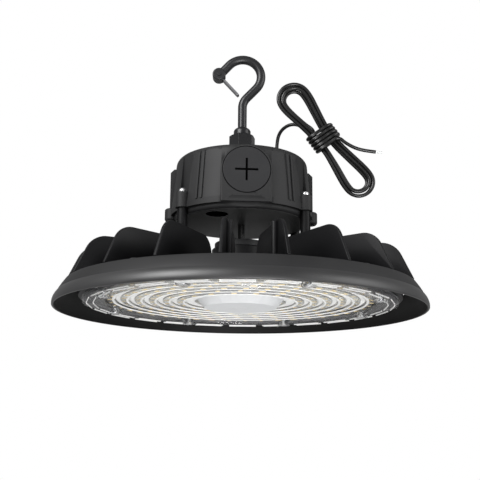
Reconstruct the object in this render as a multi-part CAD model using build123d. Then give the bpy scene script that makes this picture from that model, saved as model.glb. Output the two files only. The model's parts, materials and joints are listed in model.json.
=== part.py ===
"""High bay light: a finned casting with a flared shade, a driver box on posts, and a hook.

Everything is drawn upwards from the plane of the shade's lip, with the light's own front
towards -Y, and each sub-part is then turned to the front's azimuth. Before writing, the
whole light is moved down so that the point where the hook bears is the origin.
Heights are millimetres above the lip.
"""
from build123d import *
from math import cos, degrees, pi, radians, sin, sqrt, tan
import os

# Driving dimensions of the light as a whole
rim_radius = 170.0
fin_count = 19
front_turn = 3.8
seat_clearance = 0.1

# Shade ring: a flared skirt with a soft crease half way up
lip_height = 2.5
lip_thickness = 2.6
crease_inset = 4.2
crease_height = 11.2
skirt_top_inset = 10.7
skirt_top_height = 21.5
skirt_thickness = 2.6
skirt_bulge = 0.9
ring_lug_width = 13.0
ring_lug_overlap = 1.0
ring_lug_thickness = 2.5
ring_lug_gaps = (-7, -2, 2, 7)

# Heat sink casting
shade_gap = 16.2
sink_top_height = 19.0
sink_rim_seat = 9.3
board_seat_height = 15.6
sink_edge_chamfer = 2.0
fin_thickness = 2.8
fin_top_height = 55.8
fin_inner_radius = 63.0
fin_inner_round = 16.0
fin_shoulder_inset = 16.3
fin_shoulder_round = 20.0
fin_root_overlap = 0.4
hub_radius = 27.0
hub_top_height = 57.5
hub_foot_radius = 34.0
hub_bore_radius = 5.0
hub_notch_width = 4.0
hub_notch_depth = 12.0
pillar_radius = 2.7
pillar_inset = 15.0
post_radius = 4.6
post_circle_radius = 66.0
post_groove_width = 1.6
post_relief = 0.3
sink_ear_radius = 6.5
sink_ear_offset = 3.0

# Light engine under the casting
board_edge_gap = 2.0
board_thickness = 1.6
sink_pocket_gap = 0.4
led_ring_first = 54.0
led_edge_inset = 2.25
led_ring_count = 6
led_first_ring_chips = 18
led_ring_extra_chips = 5
led_chip_side = 2.8
led_chip_height = 0.8

# Lens
lens_edge_inset = 3.0
lens_flange_bottom = 4.8
lens_flange_thickness = 3.0
lens_flange_width = 22.0
lens_web_bottom = 9.2
lens_web_thickness = 2.0
lens_step_draft = 0.4
lens_ridge_gap = 4.15
lens_ridge_height = 1.9
lens_well_top_radius = 42.0
lens_well_bottom_radius = 35.0
lens_well_bottom = 1.2
lens_boss_count = 8
lens_boss_turn = 2.0
lens_boss_inset = 14.5
lens_boss_radius = 6.2
lens_boss_bottom = 3.0
gasket_edge_inset = 2.0
gasket_width = 5.4

# Driver box: a shallow base pan and a deep cover
base_flange_bottom = 87.0
base_flange_radius = 66.0
split_height = 92.5
pan_bottom_height = 81.5
pan_radius = 63.0
pan_corner = 4.0
pan_floor = 3.0
pan_wall = 3.0
cover_foot_radius = 65.6
cover_shoulder_radius = 61.6
cover_shoulder_height = 136.0
cover_top_radius = 58.6
cover_top_height = 141.0
cover_crown_height = 144.5
cover_wall = 3.2
cover_boss_radius = 17.0
cover_boss_height = 148.0
cover_roof = 4.0
ear_gap = 3
ear_radius = 6.5
ear_height = 8.5
pocket_half_angle = 6.6
pocket_floor_radius = 60.8
rib_angles = (36.6, 41.0)
rib_width = 2.2
rib_proud = 1.3
side_rib_width = 5.0
side_rib_radius = 67.0
side_rib_top = 133.0
side_lug_radius = 6.5
side_lug_reach = 65.0
side_lug_bottom = 82.5
side_lug_top = 95.0
cover_gasket_width = 2.0
cover_gasket_height = 1.2
cover_gasket_radius = 62.0

# Flat pad and round port plug on the front of the cover
pad_width = 45.0
pad_distance = 64.5
pad_bottom = 87.5
pad_top = 140.6
pad_skirt = 2.2
pad_corner = 3.0
port_height = 116.2
plug_radius = 20.8
plug_head_sunk = 2.4
plug_head_proud = 0.5
plug_gap = 0.45
port_bore_radius = 16.5
plug_stem_length = 7.0
plug_stem_wall = 5.0
plug_cross_length = 20.5
plug_cross_width = 2.0
plug_cross_depth = 1.6
seal_section_radius = 1.3

# Breather in the floor of the pan
breather_x = -24.5
breather_y = -39.5
breather_radius = 9.8
breather_depth = 7.0
breather_boss_wall = 2.6
breather_plug_thickness = 2.5

# Driver inside the box
driver_board_length = 84.0
driver_board_width = 58.0
driver_board_thickness = 1.6
driver_board_shift = 6.0
driver_board_rise = 7.5
board_post_inset = 5.0
board_post_radius = 3.0
transformer_size = (34.0, 28.0, 24.0)
transformer_x = 16.0
transformer_yoke = 5.0
transformer_leg = 6.0
capacitor_radius = 8.0
capacitor_height = 25.0
capacitor_round = 1.2
capacitor_places = ((-30.0, 24.0), (-30.0, 6.0), (-12.0, 24.0))
lead_radius = 3.2

# Hook, collar and latch
rod_radius = 4.25
loop_radius = 17.8
loop_centre_height = 229.3
loop_end_angle = 138.0
neck_angle = 47.0
neck_bend_radius = 14.0
tip_straight = 14.5
hook_foot_height = 129.0
knob_radius = 6.3
knob_width = 11.6
collar_flats = 22.0
collar_hex_top = 168.0
collar_neck_radius = 8.1
collar_neck_top = 175.0
collar_turn = 15.2
lock_nut_flats = 17.0
lock_nut_thickness = 6.0
latch_pin_radius = 1.2
latch_pin_head_radius = 2.2
latch_pin_head = 0.8
latch_barrel_radius = 3.0
latch_width = 6.8
latch_leaf_thickness = 1.8
latch_length = 28.4
latch_rest_angle = -47.7
latch_opening_angle = 38.0
latch_side_gap = 0.25
latch_barrel_clearance = 1.0
latch_swing_margin = 15.0

# Cable gland on the top of the cover
gland_x = 35.6
gland_y = 22.7
gland_flats = 15.0
gland_flange_height = 4.5
gland_body_top = 151.0
gland_neck_radius = 5.4
gland_nut_radius = 7.4
gland_top = 159.0

# Fasteners
small_screw_radius = 2.0
small_head_radius = 3.8
small_head_height = 2.2
small_screw_depth = 4.5
small_hole_depth = 5.0
cover_screw_radius = 2.0
cover_head_radius = 3.7
cover_head_height = 2.6
cover_screw_depth = 14.0

# Cord: one straight list of points for each free stretch, and one solid for the tied hank
cord_diameter = 3.4
hank_centre_x = 79.5
hank_centre_height = 166.0
hank_angle = -53.6
hank_upper_reach = 50.0
hank_lower_reach = 51.5
hank_upper_radius = 15.3
hank_lower_radius = 14.3
hank_waist = 12.0
hank_thickness = 9.0
wrap_start = -11.0
wrap_end = 8.0
wrap_half_width = 14.0
wrap_half_thickness = 8.0
wrap_round = 1.4
lead_side = -8.0
tail_side = 11.5
lead_plane = 6.3
tail_plane = -6.3
wire_end_length = 6.0
wire_end_radius = 0.5

# Values worked out from the driving dimensions
gap_angle = 360.0 / fin_count
ear_angle = ear_gap * gap_angle
front_azimuth = 270.0
cut_length = 400.0
crease_radius = rim_radius - crease_inset
skirt_top_radius = rim_radius - skirt_top_inset
sink_radius = crease_radius - skirt_thickness - shade_gap
ring_lug_reach = sink_radius - ring_lug_overlap
sink_ear_place_radius = sink_radius + sink_ear_offset
fin_shoulder_radius = skirt_top_radius - fin_shoulder_inset
pillar_place_radius = fin_shoulder_radius - pillar_inset
lens_radius = sink_radius - lens_edge_inset
lens_step_radius = lens_radius - lens_flange_width
lens_boss_place_radius = lens_radius - lens_boss_inset
gasket_outer_radius = lens_radius - gasket_edge_inset
gasket_inner_radius = gasket_outer_radius - gasket_width
board_radius = lens_step_radius - board_edge_gap
led_ring_last = board_radius - led_edge_inset
led_ring_pitch = (led_ring_last - led_ring_first) / (led_ring_count - 1)
lens_ridge_width = led_ring_pitch - lens_ridge_gap
hook_seat_height = loop_centre_height + loop_radius - rod_radius
board_bottom_height = board_seat_height - board_thickness
lens_web_top = lens_web_bottom + lens_web_thickness
sink_pocket_radius = lens_step_radius + lens_web_thickness + sink_pocket_gap
lens_flange_top = lens_flange_bottom + lens_flange_thickness
pan_inner_floor = pan_bottom_height + pan_floor
driver_board_bottom = pan_inner_floor + driver_board_rise
driver_board_top = driver_board_bottom + driver_board_thickness
ceiling_height = cover_crown_height - cover_roof
pad_front_y = -pad_distance
seal_middle_radius = port_bore_radius - seal_section_radius
ear_azimuths = [front_azimuth + side * turn for turn in (ear_angle, 180.0 - ear_angle) for side in (-1, 1)]


def polar(radius, azimuth):
    """X and Y of a point at a radius and an azimuth, which runs from +X towards +Y."""
    return radius * cos(radians(azimuth)), radius * sin(radians(azimuth))


def turned(outline):
    """Solid of revolution about the light's axis, from a closed outline of radius and height."""
    return revolve(Plane.XZ * make_face(outline), axis=Axis.Z)


def rod(radius, bottom, top, x=0.0, y=0.0):
    """Upright cylinder between two heights."""
    return Pos(x, y, bottom) * Cylinder(radius, top - bottom, align=(Align.CENTER, Align.CENTER, Align.MIN))


def tube(inner, outer, bottom, top):
    """Upright ring between two heights."""
    return rod(outer, bottom, top) - rod(inner, bottom - 1.0, top + 1.0)


def hexagon(flats, bottom, top, x=0.0, y=0.0, turn=0.0):
    """Upright hexagonal prism across its flats."""
    corner_radius = flats / sqrt(3.0)
    outline = RegularPolygon(corner_radius, 6)
    return Pos(x, y, bottom) * Rot(0, 0, turn) * extrude(outline, top - bottom)


def placed(shape, azimuth):
    """A shape drawn along +X, turned to an azimuth."""
    return Rot(0, 0, azimuth) * shape


def fin_azimuths():
    """Azimuths of the fins: a gap, not a fin, faces the front."""
    return [front_azimuth + (index + 0.5) * gap_angle for index in range(fin_count)]


def gap_azimuth(index):
    """Azimuth of the middle of a gap between fins, counted from the front one."""
    return front_azimuth + index * gap_angle


def pan_screw(shank_radius, head_radius, head_height, seat, length, up=True):
    """Screw whose head bears on a seat height; up means that the head stands above the seat."""
    direction = 1.0 if up else -1.0
    head = Cylinder(head_radius, head_height, align=(Align.CENTER, Align.CENTER, Align.MIN))
    head = fillet(head.edges().group_by(Axis.Z)[-1], head_height * 0.4)
    recess = Box(head_radius * 1.1, 0.9, head_height * 0.5, align=(Align.CENTER, Align.CENTER, Align.MAX))
    recess = Pos(0, 0, head_height) * recess
    head -= recess + Rot(0, 0, 90) * recess
    shank = Cylinder(shank_radius, length, align=(Align.CENTER, Align.CENTER, Align.MAX))
    screw = head + shank
    if direction < 0:
        screw = Rot(180, 0, 0) * screw
    return Pos(0, 0, seat) * screw


def shade_ring():
    """Flared skirt whose lip is the lowest edge, with lugs that are screwed to the casting."""
    crease_inner = crease_radius - skirt_thickness
    top_inner = skirt_top_radius - skirt_thickness
    lower_mid = ((rim_radius + crease_radius) / 2 + skirt_bulge, (lip_height + crease_height) / 2)
    upper_mid = ((crease_radius + skirt_top_radius) / 2 + skirt_bulge * 0.2,
                 (crease_height + skirt_top_height) / 2)
    outline = (
        Line((rim_radius - lip_thickness, 0), (rim_radius, 0))
        + Line((rim_radius, 0), (rim_radius, lip_height))
        + ThreePointArc((rim_radius, lip_height), lower_mid, (crease_radius, crease_height))
        + ThreePointArc((crease_radius, crease_height), upper_mid, (skirt_top_radius, skirt_top_height))
        + Line((skirt_top_radius, skirt_top_height), (top_inner, skirt_top_height))
        + Line((top_inner, skirt_top_height), (crease_inner, crease_height - 1.0))
        + Line((crease_inner, crease_height - 1.0), (rim_radius - lip_thickness, lip_height))
        + Line((rim_radius - lip_thickness, lip_height), (rim_radius - lip_thickness, 0))
    )
    ring = turned(outline)
    lug_top = sink_top_height + ring_lug_thickness
    for index in ring_lug_gaps:
        lug = Pos((ring_lug_reach + top_inner + 1.0) / 2, 0, lug_top - ring_lug_thickness / 2)
        lug *= Box(top_inner + 1.0 - ring_lug_reach, ring_lug_width, ring_lug_thickness)
        lug = lug - rod(small_screw_radius + seat_clearance, 0, lug_top + 1.0, sink_ear_place_radius)
        ring += placed(lug, gap_azimuth(index))
    return ring


def ring_screws():
    """Screws through the shade's lugs into the casting's ears."""
    screws = []
    for index in ring_lug_gaps:
        x, y = polar(sink_ear_place_radius, gap_azimuth(index))
        screw = pan_screw(small_screw_radius, small_head_radius, small_head_height,
                          sink_top_height + ring_lug_thickness, ring_lug_thickness + small_hole_depth)
        screws.append(Pos(x, y, 0) * screw)
    return screws


def fin_blade():
    """One upright blade along +X, from its inner end to the top of the shade."""
    slope_foot = skirt_top_radius
    blade = Polyline(
        (fin_inner_radius, sink_top_height - fin_root_overlap),
        (fin_inner_radius, fin_top_height),
        (fin_shoulder_radius, fin_top_height),
        (slope_foot, skirt_top_height),
        (sink_radius - sink_edge_chamfer - 1.0, skirt_top_height),
        (sink_radius - sink_edge_chamfer - 1.0, sink_top_height - fin_root_overlap),
        close=True,
    )
    face = make_face(blade)
    inner_corner = face.vertices().sort_by_distance((fin_inner_radius, fin_top_height))[0]
    face = fillet(inner_corner, fin_inner_round)
    outer_corner = face.vertices().sort_by_distance((fin_shoulder_radius, fin_top_height))[0]
    face = fillet(outer_corner, fin_shoulder_round)
    return extrude(Plane.XZ * face, fin_thickness / 2, both=True)


def heat_sink():
    """One casting: disc, hollow hub, fins, four posts and the ears for the shade."""
    outline = Polyline(
        (0, board_seat_height),
        (sink_pocket_radius, board_seat_height),
        (sink_pocket_radius, sink_rim_seat),
        (sink_radius, sink_rim_seat),
        (sink_radius, sink_top_height - sink_edge_chamfer),
        (sink_radius - sink_edge_chamfer, sink_top_height),
        (hub_foot_radius, sink_top_height),
        (hub_radius, sink_top_height + (hub_foot_radius - hub_radius)),
        (hub_radius, hub_top_height),
        (0, hub_top_height),
        close=True,
    )
    casting = turned(outline)
    blade = fin_blade()
    for azimuth in fin_azimuths():
        casting += placed(blade, azimuth)
    for side in (-1, 1):
        azimuth = front_azimuth + side * gap_angle / 2
        nudge = -side * degrees((fin_thickness / 2 + pillar_radius * 0.6) / pillar_place_radius)
        x, y = polar(pillar_place_radius, azimuth + nudge)
        casting += rod(pillar_radius, sink_top_height - fin_root_overlap, fin_top_height - 1.0, x, y)
    for azimuth in ear_azimuths:
        post = rod(post_radius, sink_top_height - fin_root_overlap, base_flange_bottom, post_circle_radius)
        post -= Pos(post_circle_radius + post_radius, 0, base_flange_bottom / 2) * Box(
            post_groove_width, post_groove_width, base_flange_bottom)
        post -= rod(cover_screw_radius + seat_clearance, base_flange_bottom - cover_screw_depth,
                    base_flange_bottom + 1.0, post_circle_radius)
        casting += placed(post, azimuth)
    for index in ring_lug_gaps:
        x, y = polar(sink_ear_place_radius, gap_azimuth(index))
        casting += rod(sink_ear_radius, sink_rim_seat, sink_top_height, x, y)
        web_length = sink_ear_place_radius - sink_radius + 2 * sink_ear_radius
        web = Box(web_length, 2 * sink_ear_radius, sink_top_height - sink_rim_seat,
                  align=(Align.MAX, Align.CENTER, Align.MIN))
        casting += placed(Pos(sink_ear_place_radius, 0, sink_rim_seat) * web, gap_azimuth(index))
        casting -= rod(small_screw_radius + seat_clearance, sink_top_height - small_hole_depth - 0.5,
                       sink_top_height + 1.0, x, y)
    casting -= rod(hub_bore_radius, 0, hub_top_height + 1.0)
    notch = Box(2 * hub_radius, hub_notch_width, hub_notch_depth, align=(Align.MIN, Align.CENTER, Align.MAX))
    casting -= placed(Pos(0, 0, hub_top_height) * notch, front_azimuth + gap_angle / 2)
    for index in range(lens_boss_count):
        x, y = polar(lens_boss_place_radius, lens_boss_azimuth(index))
        casting -= rod(small_screw_radius + seat_clearance, 0, sink_rim_seat + small_hole_depth, x, y)
    return casting


def lens_boss_azimuth(index):
    """Azimuth of a lens screw; the lens is turned a little against the casting."""
    return front_azimuth + lens_boss_turn - front_turn + (index + 0.5) * 360.0 / lens_boss_count


def led_board():
    """Round board that lies against the casting, with a hole for the leads."""
    return tube(hub_bore_radius * 0.5, board_radius, board_bottom_height, board_seat_height)


def led_chips():
    """Rings of light-emitting chips under the board."""
    chips = []
    for ring in range(led_ring_count):
        radius = led_ring_first + ring * led_ring_pitch
        count = led_first_ring_chips + ring * led_ring_extra_chips
        for index in range(count):
            chip = Pos(radius, 0, board_bottom_height - led_chip_height / 2)
            chip *= Box(led_chip_side, led_chip_side, led_chip_height)
            chips.append(placed(chip, index * 360.0 / count))
    return chips


def lens():
    """Clear moulding: a flange, a raised web with one ridge over each ring of chips, and a well."""
    outline = Line((0, lens_well_bottom), (lens_well_bottom_radius, lens_well_bottom))
    outline += Line((lens_well_bottom_radius, lens_well_bottom), (lens_well_top_radius, lens_web_bottom))
    cursor = (lens_well_top_radius, lens_web_bottom)
    for ring in range(led_ring_count):
        middle = led_ring_first + ring * led_ring_pitch
        start = (middle - lens_ridge_width / 2, lens_web_bottom)
        end = (middle + lens_ridge_width / 2, lens_web_bottom)
        outline += Line(cursor, start)
        outline += ThreePointArc(start, (middle, lens_web_bottom - lens_ridge_height), end)
        cursor = end
    step_inner = lens_step_radius
    well_wall = lens_web_thickness
    rest = [
        cursor,
        (step_inner, lens_web_bottom),
        (step_inner + lens_step_draft, lens_flange_bottom),
        (lens_radius - 1.0, lens_flange_bottom),
        (lens_radius, lens_flange_bottom + 1.0),
        (lens_radius, lens_flange_top),
        (step_inner + well_wall, lens_flange_top),
        (step_inner + well_wall, lens_web_top),
        (lens_well_top_radius - well_wall, lens_web_top),
        (lens_well_bottom_radius - well_wall, lens_well_bottom + well_wall),
        (0, lens_well_bottom + well_wall),
        (0, lens_well_bottom),
    ]
    for start, end in zip(rest, rest[1:]):
        outline += Line(start, end)
    moulding = turned(outline)
    for index in range(lens_boss_count):
        x, y = polar(lens_boss_place_radius, lens_boss_azimuth(index))
        moulding += rod(lens_boss_radius, lens_boss_bottom, lens_flange_top, x, y)
        moulding -= rod(small_head_radius + 0.4, 0, lens_boss_bottom + small_head_height, x, y)
        moulding -= rod(small_screw_radius + seat_clearance, 0, lens_flange_top + 1.0, x, y)
    return moulding


def lens_gasket():
    """Flat seal between the lens and the casting."""
    return tube(gasket_inner_radius, gasket_outer_radius, lens_flange_top, sink_rim_seat)


def lens_screws():
    """Screws that hold the lens, their heads sunk in its bosses."""
    screws = []
    seat = lens_boss_bottom + small_head_height
    for index in range(lens_boss_count):
        x, y = polar(lens_boss_place_radius, lens_boss_azimuth(index))
        screw = pan_screw(small_screw_radius, small_head_radius, small_head_height, seat,
                          sink_rim_seat + small_screw_depth - seat, up=False)
        screws.append(Pos(x, y, 0) * screw)
    return screws


def driver_base():
    """Shallow pan with a flange, four ears over the posts and a breather boss."""
    outline = (
        Line((0, pan_bottom_height), (pan_radius - pan_corner, pan_bottom_height))
        + RadiusArc((pan_radius - pan_corner, pan_bottom_height),
                    (pan_radius, pan_bottom_height + pan_corner), -pan_corner)
        + Line((pan_radius, pan_bottom_height + pan_corner), (pan_radius, base_flange_bottom))
        + Line((pan_radius, base_flange_bottom), (base_flange_radius, base_flange_bottom))
        + Line((base_flange_radius, base_flange_bottom), (base_flange_radius, split_height))
        + Line((base_flange_radius, split_height), (pan_radius - pan_wall, split_height))
        + Line((pan_radius - pan_wall, split_height), (pan_radius - pan_wall, pan_inner_floor))
        + Line((pan_radius - pan_wall, pan_inner_floor), (0, pan_inner_floor))
        + Line((0, pan_inner_floor), (0, pan_bottom_height))
    )
    pan = turned(outline)
    for azimuth in ear_azimuths:
        x, y = polar(post_circle_radius, azimuth)
        pan += rod(ear_radius, base_flange_bottom, split_height, x, y)
    for side in (-1, 1):
        lug = rod(side_lug_radius, side_lug_bottom, split_height, side * side_lug_reach)
        lug = fillet(lug.edges().group_by(Axis.Z)[0], side_lug_radius * 0.45)
        pan += lug
    pan -= rod(pan_radius - pan_wall, pan_inner_floor, split_height + 1.0)
    for azimuth in ear_azimuths:
        x, y = polar(post_circle_radius, azimuth)
        pan -= rod(post_radius + post_relief, 0, base_flange_bottom, x, y)
        pan -= rod(cover_screw_radius + seat_clearance, 0, split_height + 1.0, x, y)
    boss_top = pan_bottom_height + breather_depth + breather_plug_thickness
    pan += rod(breather_radius + breather_boss_wall, pan_inner_floor - 1.0, boss_top, breather_x, breather_y)
    pan -= rod(breather_radius, 0, pan_bottom_height + breather_depth, breather_x, breather_y)
    for x, y in board_posts():
        pan += rod(board_post_radius, pan_inner_floor - 0.5, driver_board_bottom, x, y)
    pan -= rod(lead_radius + seat_clearance, 0, pan_inner_floor + 1.0)
    skirt_back = pad_front_y + pad_skirt + seat_clearance
    cut = Pos(0, skirt_back, 0) * Box(pad_width + 2 * seat_clearance, 20.0, 4 * split_height,
                                      align=(Align.CENTER, Align.MAX, Align.CENTER))
    return pan - cut



def board_posts():
    """Places of the four pegs that carry the driver's board."""
    half_length = driver_board_length / 2 - board_post_inset
    half_width = driver_board_width / 2 - board_post_inset
    return [(sx * half_length, driver_board_shift + sy * half_width) for sx in (-1, 1) for sy in (-1, 1)]


def driver_board():
    """Circuit board of the driver."""
    board = Box(driver_board_length, driver_board_width, driver_board_thickness,
                align=(Align.CENTER, Align.CENTER, Align.MIN))
    return Pos(0, driver_board_shift, driver_board_bottom) * board


def transformer():
    """Wound transformer: a core with a round bobbin through it."""
    length, width, height = transformer_size
    core = Box(length, width, height, align=(Align.CENTER, Align.CENTER, Align.MIN))
    core -= Pos(0, 0, transformer_yoke) * Box(
        length - 2 * transformer_leg, width + 1.0, height - 2 * transformer_yoke,
        align=(Align.CENTER, Align.CENTER, Align.MIN))
    bobbin = Cylinder(length / 2 - 1.25 * transformer_leg, height - 1.8 * transformer_yoke,
                      align=(Align.CENTER, Align.CENTER, Align.MIN))
    core += Pos(0, 0, 0.9 * transformer_yoke) * bobbin
    return Pos(transformer_x, driver_board_shift, driver_board_top) * core


def capacitors():
    """Electrolytic capacitors standing on the board."""
    cans = []
    for x, y in capacitor_places:
        can = rod(capacitor_radius, driver_board_top, driver_board_top + capacitor_height, x, y)
        cans.append(fillet(can.edges().group_by(Axis.Z)[-1], capacitor_round))
    return cans


def light_lead():
    """Sleeved lead from the driver down the hub to the round board."""
    return rod(lead_radius, board_seat_height, driver_board_bottom)


def breather_plug():
    """Membrane plug at the top of the breather's recess."""
    top = pan_bottom_height + breather_depth
    plug = rod(breather_radius - seat_clearance, top - breather_plug_thickness, top, breather_x, breather_y)
    for index in range(6):
        x, y = polar(breather_radius * 0.6, index * 60.0)
        plug -= rod(1.2, top - breather_plug_thickness - 1.0, top - 1.0, breather_x + x, breather_y + y)
    return plug


def cover_gasket():
    """Seal in the groove of the cover's rim."""
    return tube(cover_gasket_radius, cover_gasket_radius + cover_gasket_width, split_height,
                split_height + cover_gasket_height)


def driver_cover():
    """Deep tapered cover with a flat pad, screw pockets over its ears, ribs and a crowned top."""
    inner_foot = cover_gasket_radius - 2.0
    inner_top = cover_top_radius - cover_wall
    outline = (
        Polyline((0, split_height), (cover_foot_radius, split_height),
                 (cover_shoulder_radius, cover_shoulder_height))
        + ThreePointArc((cover_shoulder_radius, cover_shoulder_height),
                        (cover_top_radius + 1.9, cover_top_height - 1.9),
                        (cover_top_radius, cover_top_height))
        + Polyline((cover_top_radius, cover_top_height), (cover_boss_radius, cover_crown_height),
                   (cover_boss_radius, cover_boss_height), (0, cover_boss_height), (0, split_height))
    )
    cover = turned(outline)
    for azimuth in ear_azimuths:
        x, y = polar(post_circle_radius, azimuth)
        sector = Box(20.0, 2 * pocket_floor_radius * tan(radians(pocket_half_angle)), cover_top_height * 2,
                     align=(Align.MIN, Align.CENTER, Align.MIN))
        cover -= placed(Pos(pocket_floor_radius, 0, split_height + ear_height) * sector, azimuth)
        cover += rod(ear_radius, split_height, split_height + ear_height, x, y)
    for angle in rib_angles:
        for azimuth in (front_azimuth - angle, front_azimuth + angle,
                        front_azimuth + 180.0 - angle, front_azimuth + 180.0 + angle):
            cover += placed(wall_rib(), azimuth)
    for side in (-1, 1):
        rib = Box(side_rib_radius - cover_shoulder_radius + 4.0, side_rib_width,
                  side_rib_top - split_height, align=(Align.MAX, Align.CENTER, Align.MIN))
        rib = Pos(side_rib_radius, 0, split_height) * rib
        rib = chamfer(rib.edges().group_by(Axis.Z)[-1].sort_by(Axis.X)[-1], 3.5)
        cover += rib if side > 0 else mirror(rib, about=Plane.YZ)
        lug = rod(side_lug_radius, split_height, side_lug_top, side * side_lug_reach)
        cover += fillet(lug.edges().group_by(Axis.Z)[-1], 2.0)
    pad = Box(pad_width, pad_distance - 40.0, pad_top - split_height,
              align=(Align.CENTER, Align.MIN, Align.MIN))
    pad = Pos(0, pad_front_y, split_height) * pad
    pad += Pos(0, pad_front_y, pad_bottom) * Box(pad_width, pad_skirt, split_height - pad_bottom + 1.0,
                                                 align=(Align.CENTER, Align.MIN, Align.MIN))
    pad = fillet(pad.edges().filter_by(Axis.Z).group_by(Axis.Y)[0], pad_corner * 0.4)
    cover += pad
    cavity = turned(Polyline((0, split_height - 1.0), (inner_foot, split_height - 1.0),
                             (inner_foot, split_height + ear_height),
                             (inner_top, cover_shoulder_height), (lock_nut_flats, ceiling_height),
                             (0, ceiling_height), close=True))
    cavity = cavity - Pos(0, pad_front_y, 0) * Box(pad_width, pad_distance - inner_top + 6.0, cut_length,
                                                   align=(Align.CENTER, Align.MIN, Align.CENTER))
    cover -= cavity
    cover -= tube(cover_gasket_radius, cover_gasket_radius + cover_gasket_width, split_height - 1.0,
                  split_height + cover_gasket_height)
    skirt_relief = Pos(0, pad_front_y + pad_skirt, 0) * Box(
        pad_width, 20.0, 2 * split_height, align=(Align.CENTER, Align.MIN, Align.CENTER))
    cover -= skirt_relief
    for azimuth in ear_azimuths:
        x, y = polar(post_circle_radius, azimuth)
        cover -= rod(cover_screw_radius + seat_clearance, 0, split_height + ear_height + 1.0, x, y)
    cover -= rod(rod_radius + seat_clearance, cover_shoulder_height - 20.0, cover_boss_height + 1.0)
    cover -= rod(gland_neck_radius + seat_clearance, cover_shoulder_height - 10.0, cover_boss_height,
                 gland_x, gland_y)
    cover += tube(gland_neck_radius + seat_clearance, gland_flats * 0.62, cover_top_height - 4.0,
                  gland_seat_height()).moved(Location((gland_x, gland_y, 0)))
    cover -= port_cut()
    return cover


def gland_seat_height():
    """Height of the flat facing that the gland is screwed down on."""
    return cover_crown_height


def wall_rib():
    """Upright rib that follows the taper of the cover's wall, drawn along +X."""
    root = cover_top_radius - rib_width
    rib = Polyline((root, split_height),
                   (cover_foot_radius + rib_proud, split_height),
                   (cover_shoulder_radius + rib_proud, cover_shoulder_height),
                   (cover_top_radius - 0.5, cover_top_height - 0.2),
                   (root, cover_top_height - 0.2), close=True)
    return extrude(Plane.XZ * make_face(rib), rib_width / 2, both=True)


def facing_front(shape):
    """A shape drawn up +Z from a seat at 0, laid so that it grows out of the pad towards -Y."""
    return Pos(0, pad_front_y, port_height) * Rot(90, 0, 0) * shape


def port_cut():
    """Counterbore and bore for the plug."""
    counterbore = Cylinder(plug_radius + plug_gap, plug_head_sunk + 5.0,
                           align=(Align.CENTER, Align.CENTER, Align.MIN))
    bore = Cylinder(port_bore_radius, pad_distance)
    return facing_front(Pos(0, 0, -plug_head_sunk) * counterbore + bore)


def port_plug():
    """Round blanking plug with a crossed slot, a stem and a groove for its seal."""
    head = Cylinder(plug_radius, plug_head_sunk + plug_head_proud,
                    align=(Align.CENTER, Align.CENTER, Align.MIN))
    head = fillet(head.edges().group_by(Axis.Z)[-1], plug_head_proud)
    head = Pos(0, 0, -plug_head_sunk) * head
    stem = Cylinder(port_bore_radius - seat_clearance, plug_stem_length,
                    align=(Align.CENTER, Align.CENTER, Align.MAX))
    stem -= Cylinder(port_bore_radius - plug_stem_wall, plug_stem_length,
                     align=(Align.CENTER, Align.CENTER, Align.MAX))
    plug = head + Pos(0, 0, -plug_head_sunk) * stem
    slot = Box(plug_cross_length, plug_cross_width, 2 * plug_cross_depth)
    slot = Pos(0, 0, plug_head_proud) * slot
    plug -= slot + Rot(0, 0, 90) * slot
    groove = Cylinder(port_bore_radius + 1.0, 2 * (seal_section_radius + seat_clearance))
    groove -= Cylinder(seal_middle_radius - seal_section_radius, 4 * seal_section_radius)
    plug -= Pos(0, 0, -plug_head_sunk - seal_drop()) * groove
    return facing_front(plug)


def seal_drop():
    """Depth of the seal's middle below the plug's head."""
    return seal_section_radius + 1.0


def port_seal():
    """Rubber ring around the plug's stem, pressed into its groove."""
    ring = Torus(seal_middle_radius, seal_section_radius - seat_clearance / 2)
    return facing_front(Pos(0, 0, -plug_head_sunk - seal_drop()) * ring)


def cover_screws():
    """Screws down through the ears of the cover and the pan into the posts."""
    screws = []
    seat = split_height + ear_height
    for azimuth in ear_azimuths:
        x, y = polar(post_circle_radius, azimuth)
        length = seat - base_flange_bottom + cover_screw_depth - 1.0
        screw = pan_screw(cover_screw_radius, cover_head_radius, cover_head_height, seat, length)
        screws.append(Pos(x, y, 0) * screw)
    return screws


def knob_centre():
    """X and height of the rounded end that carries the latch."""
    end_x = loop_radius * cos(radians(loop_end_angle))
    end_z = loop_centre_height + loop_radius * sin(radians(loop_end_angle))
    heading = radians(loop_end_angle + 90.0)
    return end_x + tip_straight * cos(heading), end_z + tip_straight * sin(heading)


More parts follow.
